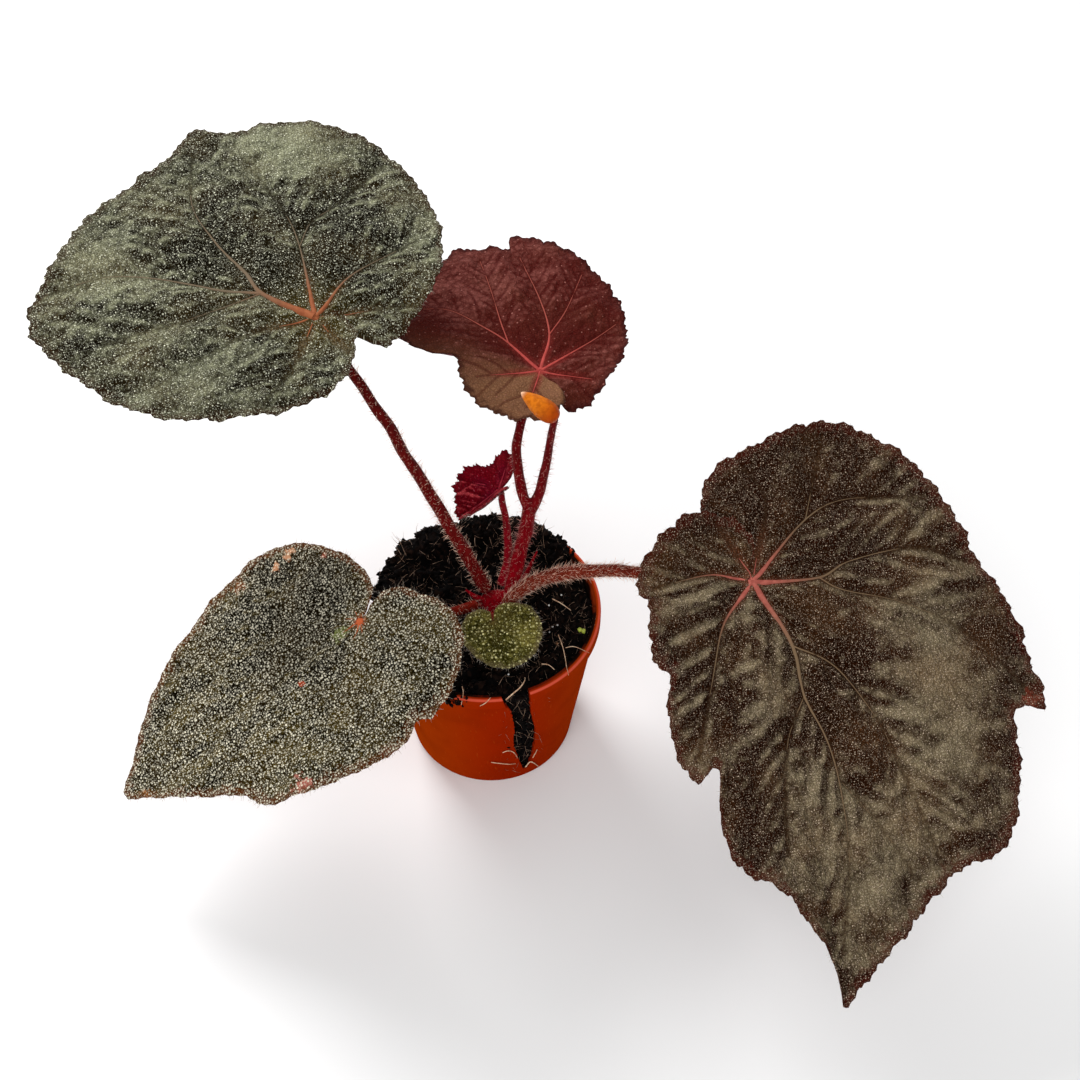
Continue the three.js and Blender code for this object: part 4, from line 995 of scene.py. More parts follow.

    # How steeply the relief falls towards the rear light, stored as shade for painted shade in the leaf
    # colour
    def shade(self, x, y, distance, ring):
        towards = np.array([self.across @ rearLight, self.along @ rearLight])
        dx, dy = shadeStep * towards / np.linalg.norm(towards)
        ahead = self.relief(x + dx, y + dy, distance, ring)
        return (self.relief(x, y, distance, ring) - ahead) / shadeStep

    # Points of the plane, raised, in metres
    def place(self, x, y, height):
        flat = np.outer(x, self.across) + np.outer(y, self.along) + np.outer(height, self.up)
        return (np.array(self.leaf["at"]) + flat) * mm


# Light and dark patches and warmer places; furrows darker, partly the leaf's own colour, partly painted
# shade;
# painted light and shade on the puffs and on slopes turned to or from the rear light; and on one lobe of one
# leaf, a painted sheen
def leafGround(tree, plane, look, puffs, uneven):
    # Furrows and the vein net are darker: partly the leaf's own colour there, partly painted shade
    tone = minus(tree, attribute(tree, "tone"), times(tree, attribute(tree, "hollow"), look["hollow"]))
    # Puffs, slope and shade are painted light and shade, lighter where the surface rises or turns to the
    # rear light; uneven is the leaf's own mottling
    lighter = (
        (puffs, 0.3), (attribute(tree, "slope"), look["slope"]), (attribute(tree, "shade"), look["shade"]),
        (uneven, look["uneven"]),
    )
    for value, weight in lighter:
        tone = plus(tree, tone, times(tree, value, weight))
    colour = tinted(tree, ramp(tree, tone, -0.2, 1.2), srgb(*look["dark"]), look["light"])
    warmth = mottled(tree, plane, 0.05, 0.4, 0.75)
    colour = tinted(tree, times(tree, warmth, look["warmShare"]), colour, look["warm"])
    # Painted sheen over one lobe, between the degrees given
    if "lobeSheen" in look:
        lobeSheen = look["lobeSheen"]
        within = ramp(tree, attribute(tree, "degrees"), lobeSheen["from"], lobeSheen["to"])
        colour = tinted(tree, times(tree, within, 0.8), colour, lobeSheen["colour"])
    return colour


# The hub, the colour beside the main veins near it, and the lines of all veins
def leafVeins(tree, look, colour):
    hub = ramp(tree, attribute(tree, "distance"), 0.0, look["hubSize"], 0.85, 0.0)
    colour = tinted(tree, hub, colour, look["hub"])
    beside = ramp(tree, attribute(tree, "primary"), 0.6, 2.2, 0.65, 0.0)
    inward = ramp(tree, attribute(tree, "distance"), 5.0, look["haloReach"], 1.0, 0.0)
    colour = tinted(tree, times(tree, beside, inward), colour, look["halo"])
    nearest = maths(tree, "MINIMUM", attribute(tree, "lateral"), attribute(tree, "primary"))
    return tinted(tree, ramp(tree, nearest, 0.15, 0.75, look["line"], 0.0), colour, look["lineColour"])


# Scars and stains, and the ragged rim
def leafMarks(tree, plane, look, colour, small):
    for degrees, reach, size, spotColour in look.get("spots", ()):
        middle = (*inPlane((degrees, reach)), 0.0)
        span = put(tree, "ShaderNodeVectorMath", {0: plane, 1: middle}, operation="DISTANCE")
        ragged = plus(tree, span.outputs["Value"], times(tree, small, size))
        colour = tinted(tree, ramp(tree, ragged, size * 0.9, size * 1.5, 0.9, 0.0), colour, spotColour)
    width = look["rimWidth"]
    edge = minus(tree, attribute(tree, "rim"), times(tree, small, width * 0.9))
    rim = ramp(tree, edge, -0.4 * width, width * 0.8, look["rimShare"], 0.0)
    return tinted(tree, rim, colour, look["rim"])


# The two sizes of pale specks, which keep off the main veins and, where a look says so, off dark places
def leafSpecks(tree, plane, look):
    clear = ramp(tree, attribute(tree, "primary"), 0.3, 1.1, 1 - look["veinClear"], 1.0)
    sparse = ramp(tree, attribute(tree, "tone"), -0.4, 0.25, look.get("fleckSparse", 1.0), 1.0)
    clear = times(tree, clear, sparse)
    flecks = times(tree, flecked(tree, plane, look["flecks"]), times(tree, clear, look["fleckShare"]))
    specks = times(tree, flecked(tree, plane, look["fine"]), times(tree, clear, look["fineShare"]))
    return flecks, specks


def leafMaterial(name, look):
    material, tree, sockets = newMaterial("leaf_" + name, {
        "Specular IOR Level": leafShine, "Specular Tint": srgb(*look["light"]),
    })
    plane = put(tree, "ShaderNodeUVMap", uv_map="leafPlane").outputs[0]
    small = mottled(tree, plane, 0.5, 0.3, 0.7)
    uneven = plus(tree, times(tree, mottled(tree, plane, 0.09, 0.3, 0.7), 0.65), times(tree, small, 0.35))
    puffs = useGroup(tree, quiltGroup, plane, {"Cells": 0.5})["Height"]
    grain = useGroup(tree, quiltGroup, plane, {"Cells": 1.3})["Height"]
    colour = leafVeins(tree, look, leafGround(tree, plane, look, puffs, uneven))
    deep = mixed(tree, 1.0, colour, srgb(*look["ground"]), "MULTIPLY")
    colour = mixed(tree, times(tree, minus(tree, 1.0, grain), 0.7), colour, deep)
    colour = leafMarks(tree, plane, look, colour, small)
    flecks, specks = leafSpecks(tree, plane, look)
    for share in (specks, flecks):
        colour = tinted(tree, share, colour, look["fleck"])
    tree.links.new(colour, sockets["Base Color"])
    tree.links.new(ramp(tree, uneven, 0.0, 1.0, 0.45, 0.65), sockets["Roughness"])
    raised = plus(tree, puffs, times(tree, grain, 0.5))
    bumped(tree, sockets, plus(tree, raised, times(tree, flecks, 0.35)), look["bump"])
    return material


def undersideMaterial(name, look):
    material, tree, sockets = newMaterial("underside_" + name, {"Roughness": 0.6, "Specular IOR Level": 0.3})
    plane = put(tree, "ShaderNodeUVMap", uv_map="leafPlane").outputs[0]
    small = mottled(tree, plane, 0.3, 0.3, 0.7)
    net = useGroup(tree, quiltGroup, plane, {"Cells": 0.8})
    red, green, blue = look["under"]
    darker = srgb(red * 0.7, green * 0.7, blue * 0.7)
    colour = mixed(tree, small, darker, srgb(red, green, blue))
    lateral = ramp(tree, attribute(tree, "lateral"), 0.2, 1.0, 0.5, 0.0)
    colour = mixed(tree, lateral, colour, srgb(min(255, red * 1.4), green * 1.5, blue * 1.4))
    colour = mixed(tree, times(tree, net["Net"], 0.3), colour, darker)
    tree.links.new(colour, sockets["Base Color"])
    bumped(tree, sockets, net["Height"], 0.35)
    return material


def veinMaterial(name, look):
    material, tree, sockets = newMaterial("vein_" + name, {
        "Roughness": 0.5, "Specular IOR Level": 0.06, "Specular Tint": srgb(*look["vein"]),
    })
    fade = ramp(tree, attribute(tree, "fade"), 0.1, 1.0)
    streaks = mottled(tree, objectPlace(tree), 600.0, 0.3, 0.7)
    red, green, blue = look["vein"]
    pale = mixed(tree, streaks, srgb(red * 0.86, green * 0.8, blue * 0.8), srgb(red, green, blue))
    tree.links.new(mixed(tree, fade, pale, srgb(*look["veinEnd"])), sockets["Base Color"])
    return material


# How the rows of a blade lie from hub (0) to margin (1), and its edge and the room kept in millimetres
bladeForm = {
    "rowBias": 0.92, "toothFrom": 0.93, "toothBand": 0.07, "thinFrom": 0.8, "thinBand": 0.2, "thinner": 0.5,
    "edge": 0.12, "boxRoom": 0.05, "hairRoom": 1.5, "netShare": 0.8, "steepest": 1.2, "tones": (-0.48, 0.7),
}


# Places of a blade in rows from margin to hub: where they lie in its plane, and how high they stand over it
def bladeGrid(blade):
    leaf = blade.leaf
    columns, rows = leaf["columns"], leaf["rows"]
    inmost = leaf["hub"] * hubInset
    ring = np.repeat((1 - np.arange(rows + 1) / rows) ** bladeForm["rowBias"], columns + 1)
    reach = np.tile(blade.reach, rows + 1)
    toothed = smooth((ring - bladeForm["toothFrom"]) / bladeForm["toothBand"])
    notched = np.tile(blade.toothed() - blade.reach, rows + 1) * toothed
    distance = inmost + (reach - inmost) * ring + notched
    angle = np.tile(blade.angle, rows + 1)
    share = np.tile(blade.share, rows + 1)
    turned = np.radians(blade.middle + (angle - blade.middle) * blade.spread(distance))
    x, y = distance * np.sin(turned), distance * np.cos(turned)
    height = blade.height(x, y, angle, distance, reach, share)
    return {
        "x": x, "y": y, "height": height, "angle": angle, "distance": distance, "ring": ring,
        "rim": (1 - ring) * (reach - inmost),
    }


# What the leaf's materials read: places in its plane, and values for the two faces and the margin
def storeLook(mesh, blade, grid, loop):
    def everywhere(values, atMargin):
        return np.concatenate([values, values, atMargin])

    x, y, distance = grid["x"], grid["y"], grid["distance"]
    plane = np.column_stack([everywhere(x, x[loop]), everywhere(y, y[loop])])
    corner = np.zeros(len(mesh.loops), np.int32)
    mesh.loops.foreach_get("vertex_index", corner)
    mesh.uv_layers.new(name="leafPlane").data.foreach_set("uv", plane[corner].astype(np.float32).ravel())
    # Painted light and shade: slope is how far each normal turns towards the rear light, and shade how
    # steeply the relief falls towards it; both lighten or darken the leaf colour
    normals = np.zeros(3 * len(mesh.vertices), np.float32)
    mesh.vertex_normals.foreach_get("vector", normals)
    tiltToLight = (normals.reshape(-1, 3)[:len(x)] - blade.up) @ rearLight
    tone = np.zeros(x.shape)
    for degrees, far, size, amount in blade.leaf["tones"]:
        px, py = inPlane((degrees, far))
        tone += amount * np.exp(-(((x - px) ** 2 + (y - py) ** 2) / size**2))
    ring = np.minimum(grid["ring"], 1)
    primary, lateral, veined, netted, grow = blade.hollows(x, y, distance, ring)
    steepest = bladeForm["steepest"]
    carried = {
        "slope": tiltToLight, "shade": np.clip(blade.shade(x, y, distance, ring), -steepest, steepest),
        "degrees": grid["angle"], "distance": distance, "lateral": lateral, "primary": primary,
    }
    for name, values in carried.items():
        storeValues(mesh, name, everywhere(values, values[loop]))
    onFaces = {
        "hollow": grow * np.maximum(veined, bladeForm["netShare"] * netted),
        "rim": grid["rim"], "tone": np.clip(tone, *bladeForm["tones"]),
    }
    for name, values in onFaces.items():
        storeValues(mesh, name, everywhere(values, np.zeros(len(loop))))


# The blade's two faces as one closed mesh, whose margin is drawn out a little between them
def bladeMesh(blade):
    columns, rows = blade.leaf["columns"], blade.leaf["rows"]
    grid = bladeGrid(blade)
    x, y, height = grid["x"], grid["y"], grid["height"]
    thinned = smooth((grid["ring"] - bladeForm["thinFrom"]) / bladeForm["thinBand"])
    half = blade.leaf["thickness"] / 2 * (1 - bladeForm["thinner"] * thinned)
    at = np.arange((rows + 1) * (columns + 1)).reshape(rows + 1, columns + 1)
    loop = np.concatenate([at[0], at[1:, columns], at[rows, columns - 1::-1], at[rows - 1:0:-1, 0]])
    edge = blade.place(x[loop], y[loop], height[loop])
    rimCount = columns + 1
    outward = edge[:rimCount] - blade.place(x[at[1]], y[at[1]], height[at[1]])
    edge[:rimCount] += bladeForm["edge"] * mm * outward / np.linalg.norm(outward, axis=1)[:, None]
    low, high = (np.array(corner) for corner in cadBox)
    points = np.vstack([blade.place(x, y, height + half), blade.place(x, y, height - half), edge])
    points = np.clip(points, low + bladeForm["boxRoom"] * mm, high - bladeForm["boxRoom"] * mm)
    corners = np.stack([at[:-1, :-1], at[:-1, 1:], at[1:, 1:], at[1:, :-1]], axis=-1).reshape(-1, 4)
    following = np.roll(loop, -1)
    mid = 2 * at.size + np.arange(len(loop))
    nextMid = np.roll(mid, -1)
    upper = np.stack([following, loop, mid, nextMid], axis=-1)
    lower = np.stack([nextMid, mid, loop + at.size, following + at.size], axis=-1)
    faces = np.vstack([corners, corners[:, ::-1] + at.size, upper, lower])
    mesh = newMesh("blade", points, faces.tolist())
    storeLook(mesh, blade, grid, loop)
    room = np.minimum(edge - low, high - edge)[:rimCount].min(axis=1)
    hairy = np.zeros(len(points))
    hairy[2 * at.size:2 * at.size + rimCount] = room > bladeForm["hairRoom"] * mm
    storeValues(mesh, "hairy", hairy)
    under = np.zeros(len(faces), np.int32)
    under[len(corners):2 * len(corners)] = 1
    mesh.polygons.foreach_set("material_index", under)
    return mesh


veinForm = {
    "startReach": 3.5, "flare": 0.75, "flareTurn": 2.2, "least": 0.09, "sunk": 0.6, "evened": 3,
    "knobSteps": 13, "knobLength": 0.5, "knobDrop": 0.22, "knobWidth": 0.78,
}


# Main veins stand a little out of the upper face, and thick ones out of the lower, round a knob at the stalk
def veinPaths(blade):
    leaf = blade.leaf
    paths = []
    for path, (width, span) in zip(blade.primaries, leaf["veinForms"]):
        if math.hypot(*path[0, :2]) < veinForm["startReach"]:
            inner = np.outer((0.1, 0.4, 0.7), path[0])
            inner[:, 2] = path[0, 2]
            path = np.vstack([inner, path])
        x, y, degrees = path.T
        distance = np.hypot(x, y)
        angle, reach, share = blade.marginAt(degrees, distance)
        kept = distance < span
        x, y, angle, distance, reach, share = (v[kept] for v in (x, y, angle, distance, reach, share))
        if len(x) < 3:
            continue
        height = blade.height(x, y, angle, distance, reach, share)
        evened = veinForm["evened"]
        padded = np.pad(height, evened, mode="edge")
        height = np.mean([padded[k:k + len(height)] for k in range(2 * evened + 1)], axis=0)
        left = 1 - distance / span
        flare = veinForm["flare"]
        radius = width * (flare * left ** veinForm["flareTurn"] + (1 - flare) * left) + veinForm["least"]
        sunk = leaf["thickness"] / 2 - veinForm["sunk"] * radius
        paths.append((blade.place(x, y, height + sunk) / mm, radius, distance / leaf["blush"]))
    hub = leaf["hub"]
    count = veinForm["knobSteps"]
    steps = np.linspace(-1, 1, count)
    drop = hub * (veinForm["knobLength"] * steps - veinForm["knobDrop"])
    knob = blade.place(np.zeros(count), np.zeros(count), drop) / mm
    width = veinForm["knobWidth"] * hub * np.sqrt(np.clip(1 - steps**2, 0.02, 1))
    paths.append((knob, width, np.zeros(count)))
    return paths


marginHairs = {
    "upper_left": {"Density": 3.2e6, "Length": 0.8 * mm},
    "burgundy": {"Density": 1.5e6, "Length": 0.6 * mm},
    "right": {"Density": 2.2e6, "Length": 0.8 * mm},
    "lower_left": {"Density": 5e6, "Length": 1.1 * mm},
    "small_green": {"Density": 9e6, "Length": 1 * mm},
    "small_red": {"Density": 7e6, "Length": 1 * mm},
}


# Two colours in small uneven patches, for hairs, rootlets and grains
def twoToneMaterial(name, dark, light):
    material, tree, sockets = newMaterial(name, {"Roughness": 0.5, "Specular IOR Level": 0.4})
    shade = mottled(tree, objectPlace(tree), 900.0, 0.3, 0.7)
    tree.links.new(mixed(tree, shade, srgb(*dark), srgb(*light)), sockets["Base Color"])
    return material


tanHair = twoToneMaterial("hair_tan", (190, 116, 86), (252, 228, 206))
pinkHair = twoToneMaterial("hair_pink", (156, 62, 58), (226, 170, 158))
greyHair = twoToneMaterial("hair_grey", (128, 112, 98), (190, 182, 168))
for name, leaf in leaves.items():
    blade = Blade(leaf)
    mesh = bladeMesh(blade)
    hairs = grownMesh(mesh.copy(), hairTree, {
        **marginHairs[name], "Seed": 7, "Spread": 0.5, "Thickness": 0.05, "Lean": 0.6, "Sweep": 0.0,
        "Material": greyHair,
    })
    mesh.materials.append(leafMaterial(name, leaf["look"]))
    mesh.materials.append(undersideMaterial(name, leaf["look"]))
    addPiece("leaf_" + name, mesh, ["blade_" + name])
    veins = grownMesh(pathMesh(veinPaths(blade)), limbTree, {
        "Sides": 10, "Material": veinMaterial(name, leaf["look"]),
    })
    addPiece("veins_" + name, veins, ())
    addPiece("margin_hairs_" + name, hairs)
    print("leaf", name, len(blade.laterals), "side veins")


# Stems and stalks
crown = {
    "at": (3.2, 3.2, 57.5), "size": (6.4, 4.8, 3.6), "stubRadius": 3, "stubTip": 2.1, "stubEnd": 44,
    "rough": 0.12, "roughScale": 2.2, "square": 0.34, "smoothings": 4,
}
stemHairs = {"density": 0.9e6, "length": 1.2, "from": 59}
mainStem = {
    "path": ((6.6, 4.2, 57), (7.9, 7.4, 63), (9.9, 11.2, 73), (11.9, 12, 84), (13, 12.4, 93)),
    "radii": (3, 2.6, 2.5, 2.5, 2.4),
}
leftArm = {
    "path": (
        (12.9, 12.4, 91), (10.6, 14.7, 99), (9.5, 17.3, 107.5), (9.3, 20, 114), (11.6, 26.5, 121),
        (15.3, 33.7, 125.8),
    ),
    "radii": (1.9, 1.8, 1.7, 1.6, 1.5),
}
rightArm = {
    "path": ((13, 12.4, 91), (15.7, 12.3, 99), (17.7, 13.4, 109), (18.8, 13.9, 119.5), (20.3, 12.6, 131.4)),
    "radii": (2.1, 1.7, 1.4, 1.2),
}
sprout = {"path": ((7, 6.5, 57.5), (11.6, 12.4, 60.5), (15.3, 17.4, 66)), "radii": (1, 0.9, 0.4)}
stipule = {"path": ((1, 3, 58.5), (-3.4, 2.6, 61.2), (-7, 4.4, 63)), "radii": (1.5, 1.2, 0.4)}
stalks = {
    "upper_left": {
        "path": (
            (-1, 6.6, 61), (-4, 7.6, 69), (-9.6, 9.2, 84), (-18.8, 10.8, 108), (-29, 12.2, 135),
            (-38.6, 15.9, 154),
        ),
        "radii": (2.4, 2.2, 2, 1.7, 1.4), "slot": "stalk",
        "low": (104, 18, 18), "high": (78, 14, 12), "hairs": 0.95e6, "hairLength": 1.4, "sweep": 0.6,
    },
    "right": {
        "path": (
            (5.6, -0.4, 62.4), (11, 1.6, 67.4), (18, 2.4, 72), (28, 1, 76.5), (38.5, -2, 80.5),
            (50, -5.4, 83.5), (66, -9.6, 85.6),
        ),
        "radii": (2.2, 2.5, 2.4, 2.1, 1.9, 1.7, 1.6), "slot": "stalk",
        "low": (118, 42, 28), "high": (112, 40, 27), "hairs": 2.1e6, "hairLength": 1.5, "sweep": 1.4,
    },
    "lower_left": {
        "path": ((-3.6, 0.2, 60.6), (-11.5, -3.6, 62), (-20.4, -7.4, 64.4), (-30, -12.4, 68.6)),
        "radii": (1.9, 1.7, 1.6, 1.5), "slot": "stalk",
        "low": (116, 24, 14), "high": (110, 40, 22), "hairs": 1e6, "hairLength": 1.2, "sweep": 0.5,
    },
    "small_green": {
        "path": ((1.6, -2.6, 59.6), (1.7, -6.4, 61.2)),
        "radii": (1.2, 1, 0.9), "slot": "stalk",
        "low": (140, 30, 30), "high": (110, 60, 36), "hairs": 1e6, "hairLength": 0.8, "sweep": 0.3,
    },
    "small_red": {
        "path": ((4.2, 8.6, 60.4), (6.1, 12.8, 67.5), (6.1, 17.2, 77), (4.6, 20.8, 85)),
        "radii": (1.8, 1.6, 1.3, 1.1), "slot": "stem",
        "low": (128, 8, 24), "high": (120, 20, 28), "hairs": 0.9e6, "hairLength": 1.2, "sweep": 0.3,
    },
}
hubGap = 0.39


def stemMaterial(name, low, high, lowZ, highZ):
    material, tree, sockets = newMaterial(name, {
        "Roughness": 0.45, "Specular IOR Level": 0.05, "Specular Tint": srgb(200, 60, 50),
    })
    place = objectPlace(tree)
    height = put(tree, "ShaderNodeSeparateXYZ", {0: place}).outputs[2]
    rise = ramp(tree, height, lowZ * mm, highZ * mm)
    colour = mixed(tree, rise, srgb(*low), srgb(*high))
    long = vectorMaths(tree, "MULTIPLY", place, (1.0, 1.0, 0.25))
    streaks = mottled(tree, long, 900.0, 0.35, 0.7)
    darker = mixed(tree, 1.0, colour, (0.35, 0.3, 0.3, 1), "MULTIPLY")
    colour = mixed(tree, times(tree, streaks, 0.6), colour, darker)
    specks = put(tree, "ShaderNodeTexVoronoi", {"Vector": place, "Scale": 900.0}).outputs["Distance"]
    colour = mixed(tree, ramp(tree, specks, 0.12, 0.25, 0.35, 0.0), colour, srgb(214, 140, 120))
    tree.links.new(colour, sockets["Base Color"])
    bumped(tree, sockets, plus(tree, streaks, ramp(tree, specks, 0.1, 0.4, 1.0, 0.0)), 0.18)
    return material


limbForm = {
    "step": 1.2, "width": 0.87, "bend": 0.48, "bendScale": 0.09, "swell": 0.1, "swellScale": 0.16,
    "calmEnd": 8,
}


# A limb's path with swellings and small bends of its own
def limbPath(limb, seed):
    step = limbForm["step"]
    count = max(8, round(pathLength(limb["path"]) / step))
    points = smoothPath(limb["path"], count)
    radii = spreadValues(limb["radii"], count + 1)
    places = np.arange(count + 1) * step
    uneven = np.array([noise.noise((p * limbForm["swellScale"], seed, 0)) for p in places])
    bends = np.array([
        [noise.noise((p * limbForm["bendScale"], seed + axis * 5, 3)) for axis in (1, 2, 3)] for p in places
    ])
    ends = np.minimum(1, np.minimum(places, places[::-1]) / limbForm["calmEnd"])[:, None]
    width = limbForm["width"] + limbForm["swell"] * uneven
    return points + limbForm["bend"] * bends * ends, radii * width, np.linspace(0, 1, count + 1)


def addHairs(name, mesh, density, length, look, lean=0.45, sweep=0.0, seed=5, thickness=0.042):
    if "hairy" not in mesh.attributes:
        storeValues(mesh, "hairy", np.ones(len(mesh.vertices)))
    hairs = grownMesh(mesh, hairTree, {
        "Density": density, "Seed": seed, "Length": length * mm, "Spread": 0.6, "Thickness": thickness,
        "Lean": lean, "Sweep": sweep, "Material": look,
    })
    addPiece(name, hairs)


# A stalk ends just under its blade's hub
def wholeStalk(name, stalk):
    leaf = leaves[name]
    _, _, up = axesOf(leaf)
    joint = np.array(leaf["at"])
    arrive = np.array(stalk["path"][-1]) - joint
    arrive = arrive / np.linalg.norm(arrive) - up
    arrive /= np.linalg.norm(arrive)
    return {**stalk, "path": (*stalk["path"], tuple(joint + arrive * (leaf["hub"] + hubGap)))}


for seed, (name, stalk) in enumerate(stalks.items()):
    whole = wholeStalk(name, stalk)
    lowZ, highZ = whole["path"][0][2], whole["path"][-1][2]
    look = stemMaterial("stalk_" + name, stalk["low"], stalk["high"], lowZ, highZ)
    points, radii, fade = limbPath(whole, seed + 1)
    mesh = grownMesh(pathMesh([(points, radii, fade)]), limbTree, {"Sides": 20, "Material": look})
    addHairs(
        "hairs_stalk_" + name, mesh.copy(), stalk["hairs"], stalk["hairLength"], tanHair,
        sweep=stalk["sweep"], seed=20 + seed,
    )
    addPiece("petiole_" + name, mesh, ["stalk_" + name])

stemLook = stemMaterial("main_stem", (134, 6, 20), (92, 14, 16), 58, 120)


# The crown and its limbs, melted into one skin
def stemMesh():
    x, y, z = crown["at"]
    foot = crown["stubEnd"]
    down = ((x, y, z), (x, y, (z + foot) / 2), (x, y, foot))
    stub = {"path": down, "radii": (crown["stubRadius"], crown["stubTip"])}
    limbs = (mainStem, leftArm, rightArm, sprout, stipule, stub)
    paths = [limbPath(limb, 30 + i) for i, limb in enumerate(limbs)]
    mesh = grownMesh(pathMesh(paths), limbTree, {"Sides": 20, "Material": stemLook})
    body = bmesh.new()
    body.from_mesh(mesh)
    knob = bmesh.ops.create_icosphere(body, subdivisions=4, radius=mm)["verts"]
    for vertex in knob:
        rough = 1 + crown["rough"] * noise.noise(vertex.co / mm * crown["roughScale"])
        size = [half * rough for half in crown["size"]]
        vertex.co = Vector([c * s + a * mm for c, s, a in zip(vertex.co, size, crown["at"])])
    body.to_mesh(mesh)
    body.free()
    return melted(mesh, crown["square"], crown["smoothings"])


mesh = stemMesh()
mesh.materials.clear()
mesh.materials.append(stemLook)
heights = np.array([v.co.z for v in mesh.vertices])
hairyStem = mesh.copy()
storeValues(hairyStem, "hairy", (heights > stemHairs["from"] * mm) * 1.0)
addHairs("hairs_main_stem", hairyStem, stemHairs["density"], stemHairs["length"], pinkHair, seed=31)
addPiece("stem_and_fork", mesh, ["main_stem"])
print("stems made")


# Bud: a pointed sheath with overlapping scales across the right arm's end
bud = {
    "from": (21.1, 10.7, 133.2), "to": (10.8, 16.3, 138.2), "ends": (0.004, 0.996), "fattest": 3.2,
    "blunt": 0.62, "lean": 0.66, "taper": 0.12, "rings": 60, "sides": 48,
    "seamDepth": 0.06, "seamWidth": 0.16, "seamTurn": 1.2, "seamTwist": 1.6,
    "scaleDepth": 0.05, "scaleAt": 0.42, "scaleLean": 0.1, "scaleSharp": 9,
}


def budMaterial():
    material, tree, sockets = newMaterial("bud", {
        "Roughness": 0.4, "Specular IOR Level": 0.12, "Specular Tint": srgb(250, 170, 60),
    })
    along = attribute(tree, "along")
    colour = mixed(tree, ramp(tree, along, 0.05, 0.6), srgb(166, 62, 10), srgb(206, 112, 24))
    colour = mixed(tree, ramp(tree, along, 0.86, 1.0), colour, srgb(244, 196, 160))
    streaks = mottled(tree, objectPlace(tree), 700.0, 0.35, 0.7)
    colour = mixed(tree, times(tree, streaks, 0.5), colour, srgb(122, 46, 8))
    tree.links.new(colour, sockets["Base Color"])
    bumped(tree, sockets, streaks, 0.15)
    return material


def budMesh():
    start, end = np.array(bud["from"]), np.array(bud["to"])
    axis = end - start
    length = np.linalg.norm(axis)
    axis = axis / length
    side = np.cross(axis, (0, 0, 1))
    side /= np.linalg.norm(side)
    other = np.cross(axis, side)
    rings, sides = bud["rings"], bud["sides"]
    t = np.repeat(np.linspace(*bud["ends"], rings), sides)
    turn = np.tile(np.arange(sides) * 2 * np.pi / sides, rings)
    width = np.sin(np.pi * t ** bud["lean"]) ** bud["blunt"] * (1 - bud["taper"] * t)
    fromSeam = (turn - bud["seamTurn"] - bud["seamTwist"] * t) / bud["seamWidth"]
    seam = 1 - bud["seamDepth"] * np.exp(-(fromSeam**2))
    fromScale = np.abs(t - bud["scaleAt"] - bud["scaleLean"] * np.cos(turn))
    scale = 1 - bud["scaleDepth"] * smooth(0.5 - fromScale * bud["scaleSharp"])
    radius = bud["fattest"] * width * seam * scale
    points = start + np.outer(t * length, axis) + np.outer(radius * np.cos(turn), side)
    points += np.outer(radius * np.sin(turn), other)
    faces = ringFaces(rings, sides)
    faces.append(list(range(sides - 1, -1, -1)))
    faces.append(list(range((rings - 1) * sides, rings * sides)))
    mesh = newMesh("bud", points * mm, faces)
    storeValues(mesh, "along", t)
    return mesh


mesh = budMesh()
mesh.materials.append(budMaterial())
addPiece("bud_sheath", mesh, ["bud"])


# Pot: a turned shell with a lip, drain holes and a torn split from rim to base
pot = {
    "height": 60, "rim": 35, "base": 26.5, "wall": 1.2, "floor": 1.6, "lip": 4.5, "lipStep": 1.2,
    "lipSlope": 1, "sides": 160,
}
wallTop = pot["height"] - pot["lip"]
wallLean = pot["rim"] - pot["lipStep"] - pot["base"]
drainHoles = {"count": 6, "radius": 2.6, "circle": 17, "sides": 32}
split = {"heading": 18.5, "inner": -17, "outer": -36.5}
splitLeft = ((-6.4, 62), (-5.9, 58), (-3.4, 51), (-1.8, 39), (-2, 27), (0.2, 14), (2.2, 5))
splitRight = ((4, 5), (5, 13), (5.6, 22), (5.4, 32), (3.4, 45), (2.3, 58), (2.3, 62))


def wallRadius(z):
    return pot["base"] + wallLean * z / wallTop


def innerRadius(z):
    return wallRadius(min(z, wallTop)) - pot["wall"]


# A profile whose corners are rounded by the amounts given with them
def rounded(profile, steps=4):
    points = []
    for i, (r, z, amount) in enumerate(profile):
        corner = np.array([r, z], float)
        if not amount:
            points.append(corner)
            continue
        before = np.array(profile[i - 1][:2]) - corner
        after = np.array(profile[i + 1][:2]) - corner
        a = corner + before / np.linalg.norm(before) * amount
        b = corner + after / np.linalg.norm(after) * amount
        for t in np.linspace(0, 1, steps + 1):
            points.append(a * (1 - t) ** 2 + corner * 2 * t * (1 - t) + b * t * t)
    return points


def lathed(profile, sides):
    points = [(0, 0, profile[0][1])]
    for r, z in profile[1:-1]:
        points += [(r * math.cos(a), r * math.sin(a), z) for a in np.arange(sides) * 2 * np.pi / sides]
    points.append((0, 0, profile[-1][1]))
    return newMesh("lathed", np.array(points) * mm, turnedFaces(len(profile) - 2, sides))


def prism(outline, low, high, axes):
    n = len(outline)
    points = [axes(x, z, low) for x, z in outline] + [axes(x, z, high) for x, z in outline]
    faces = [list(range(n)), list(range(2 * n - 1, n - 1, -1))]
    faces += [(k, k + n, (k + 1) % n + n, (k + 1) % n) for k in range(n)]
    mesh = newMesh("prism", np.array(points) * mm, faces)
    body = bmesh.new()
    body.from_mesh(mesh)
    bmesh.ops.recalc_face_normals(body, faces=body.faces)
    body.to_mesh(mesh)
    body.free()
    return mesh


tearStep = 0.9
tearJags = ((0.7, 0.5, 0), (2.3, 0.25, 4))  # turns of the noise in a step, depth, and what the seed grows by


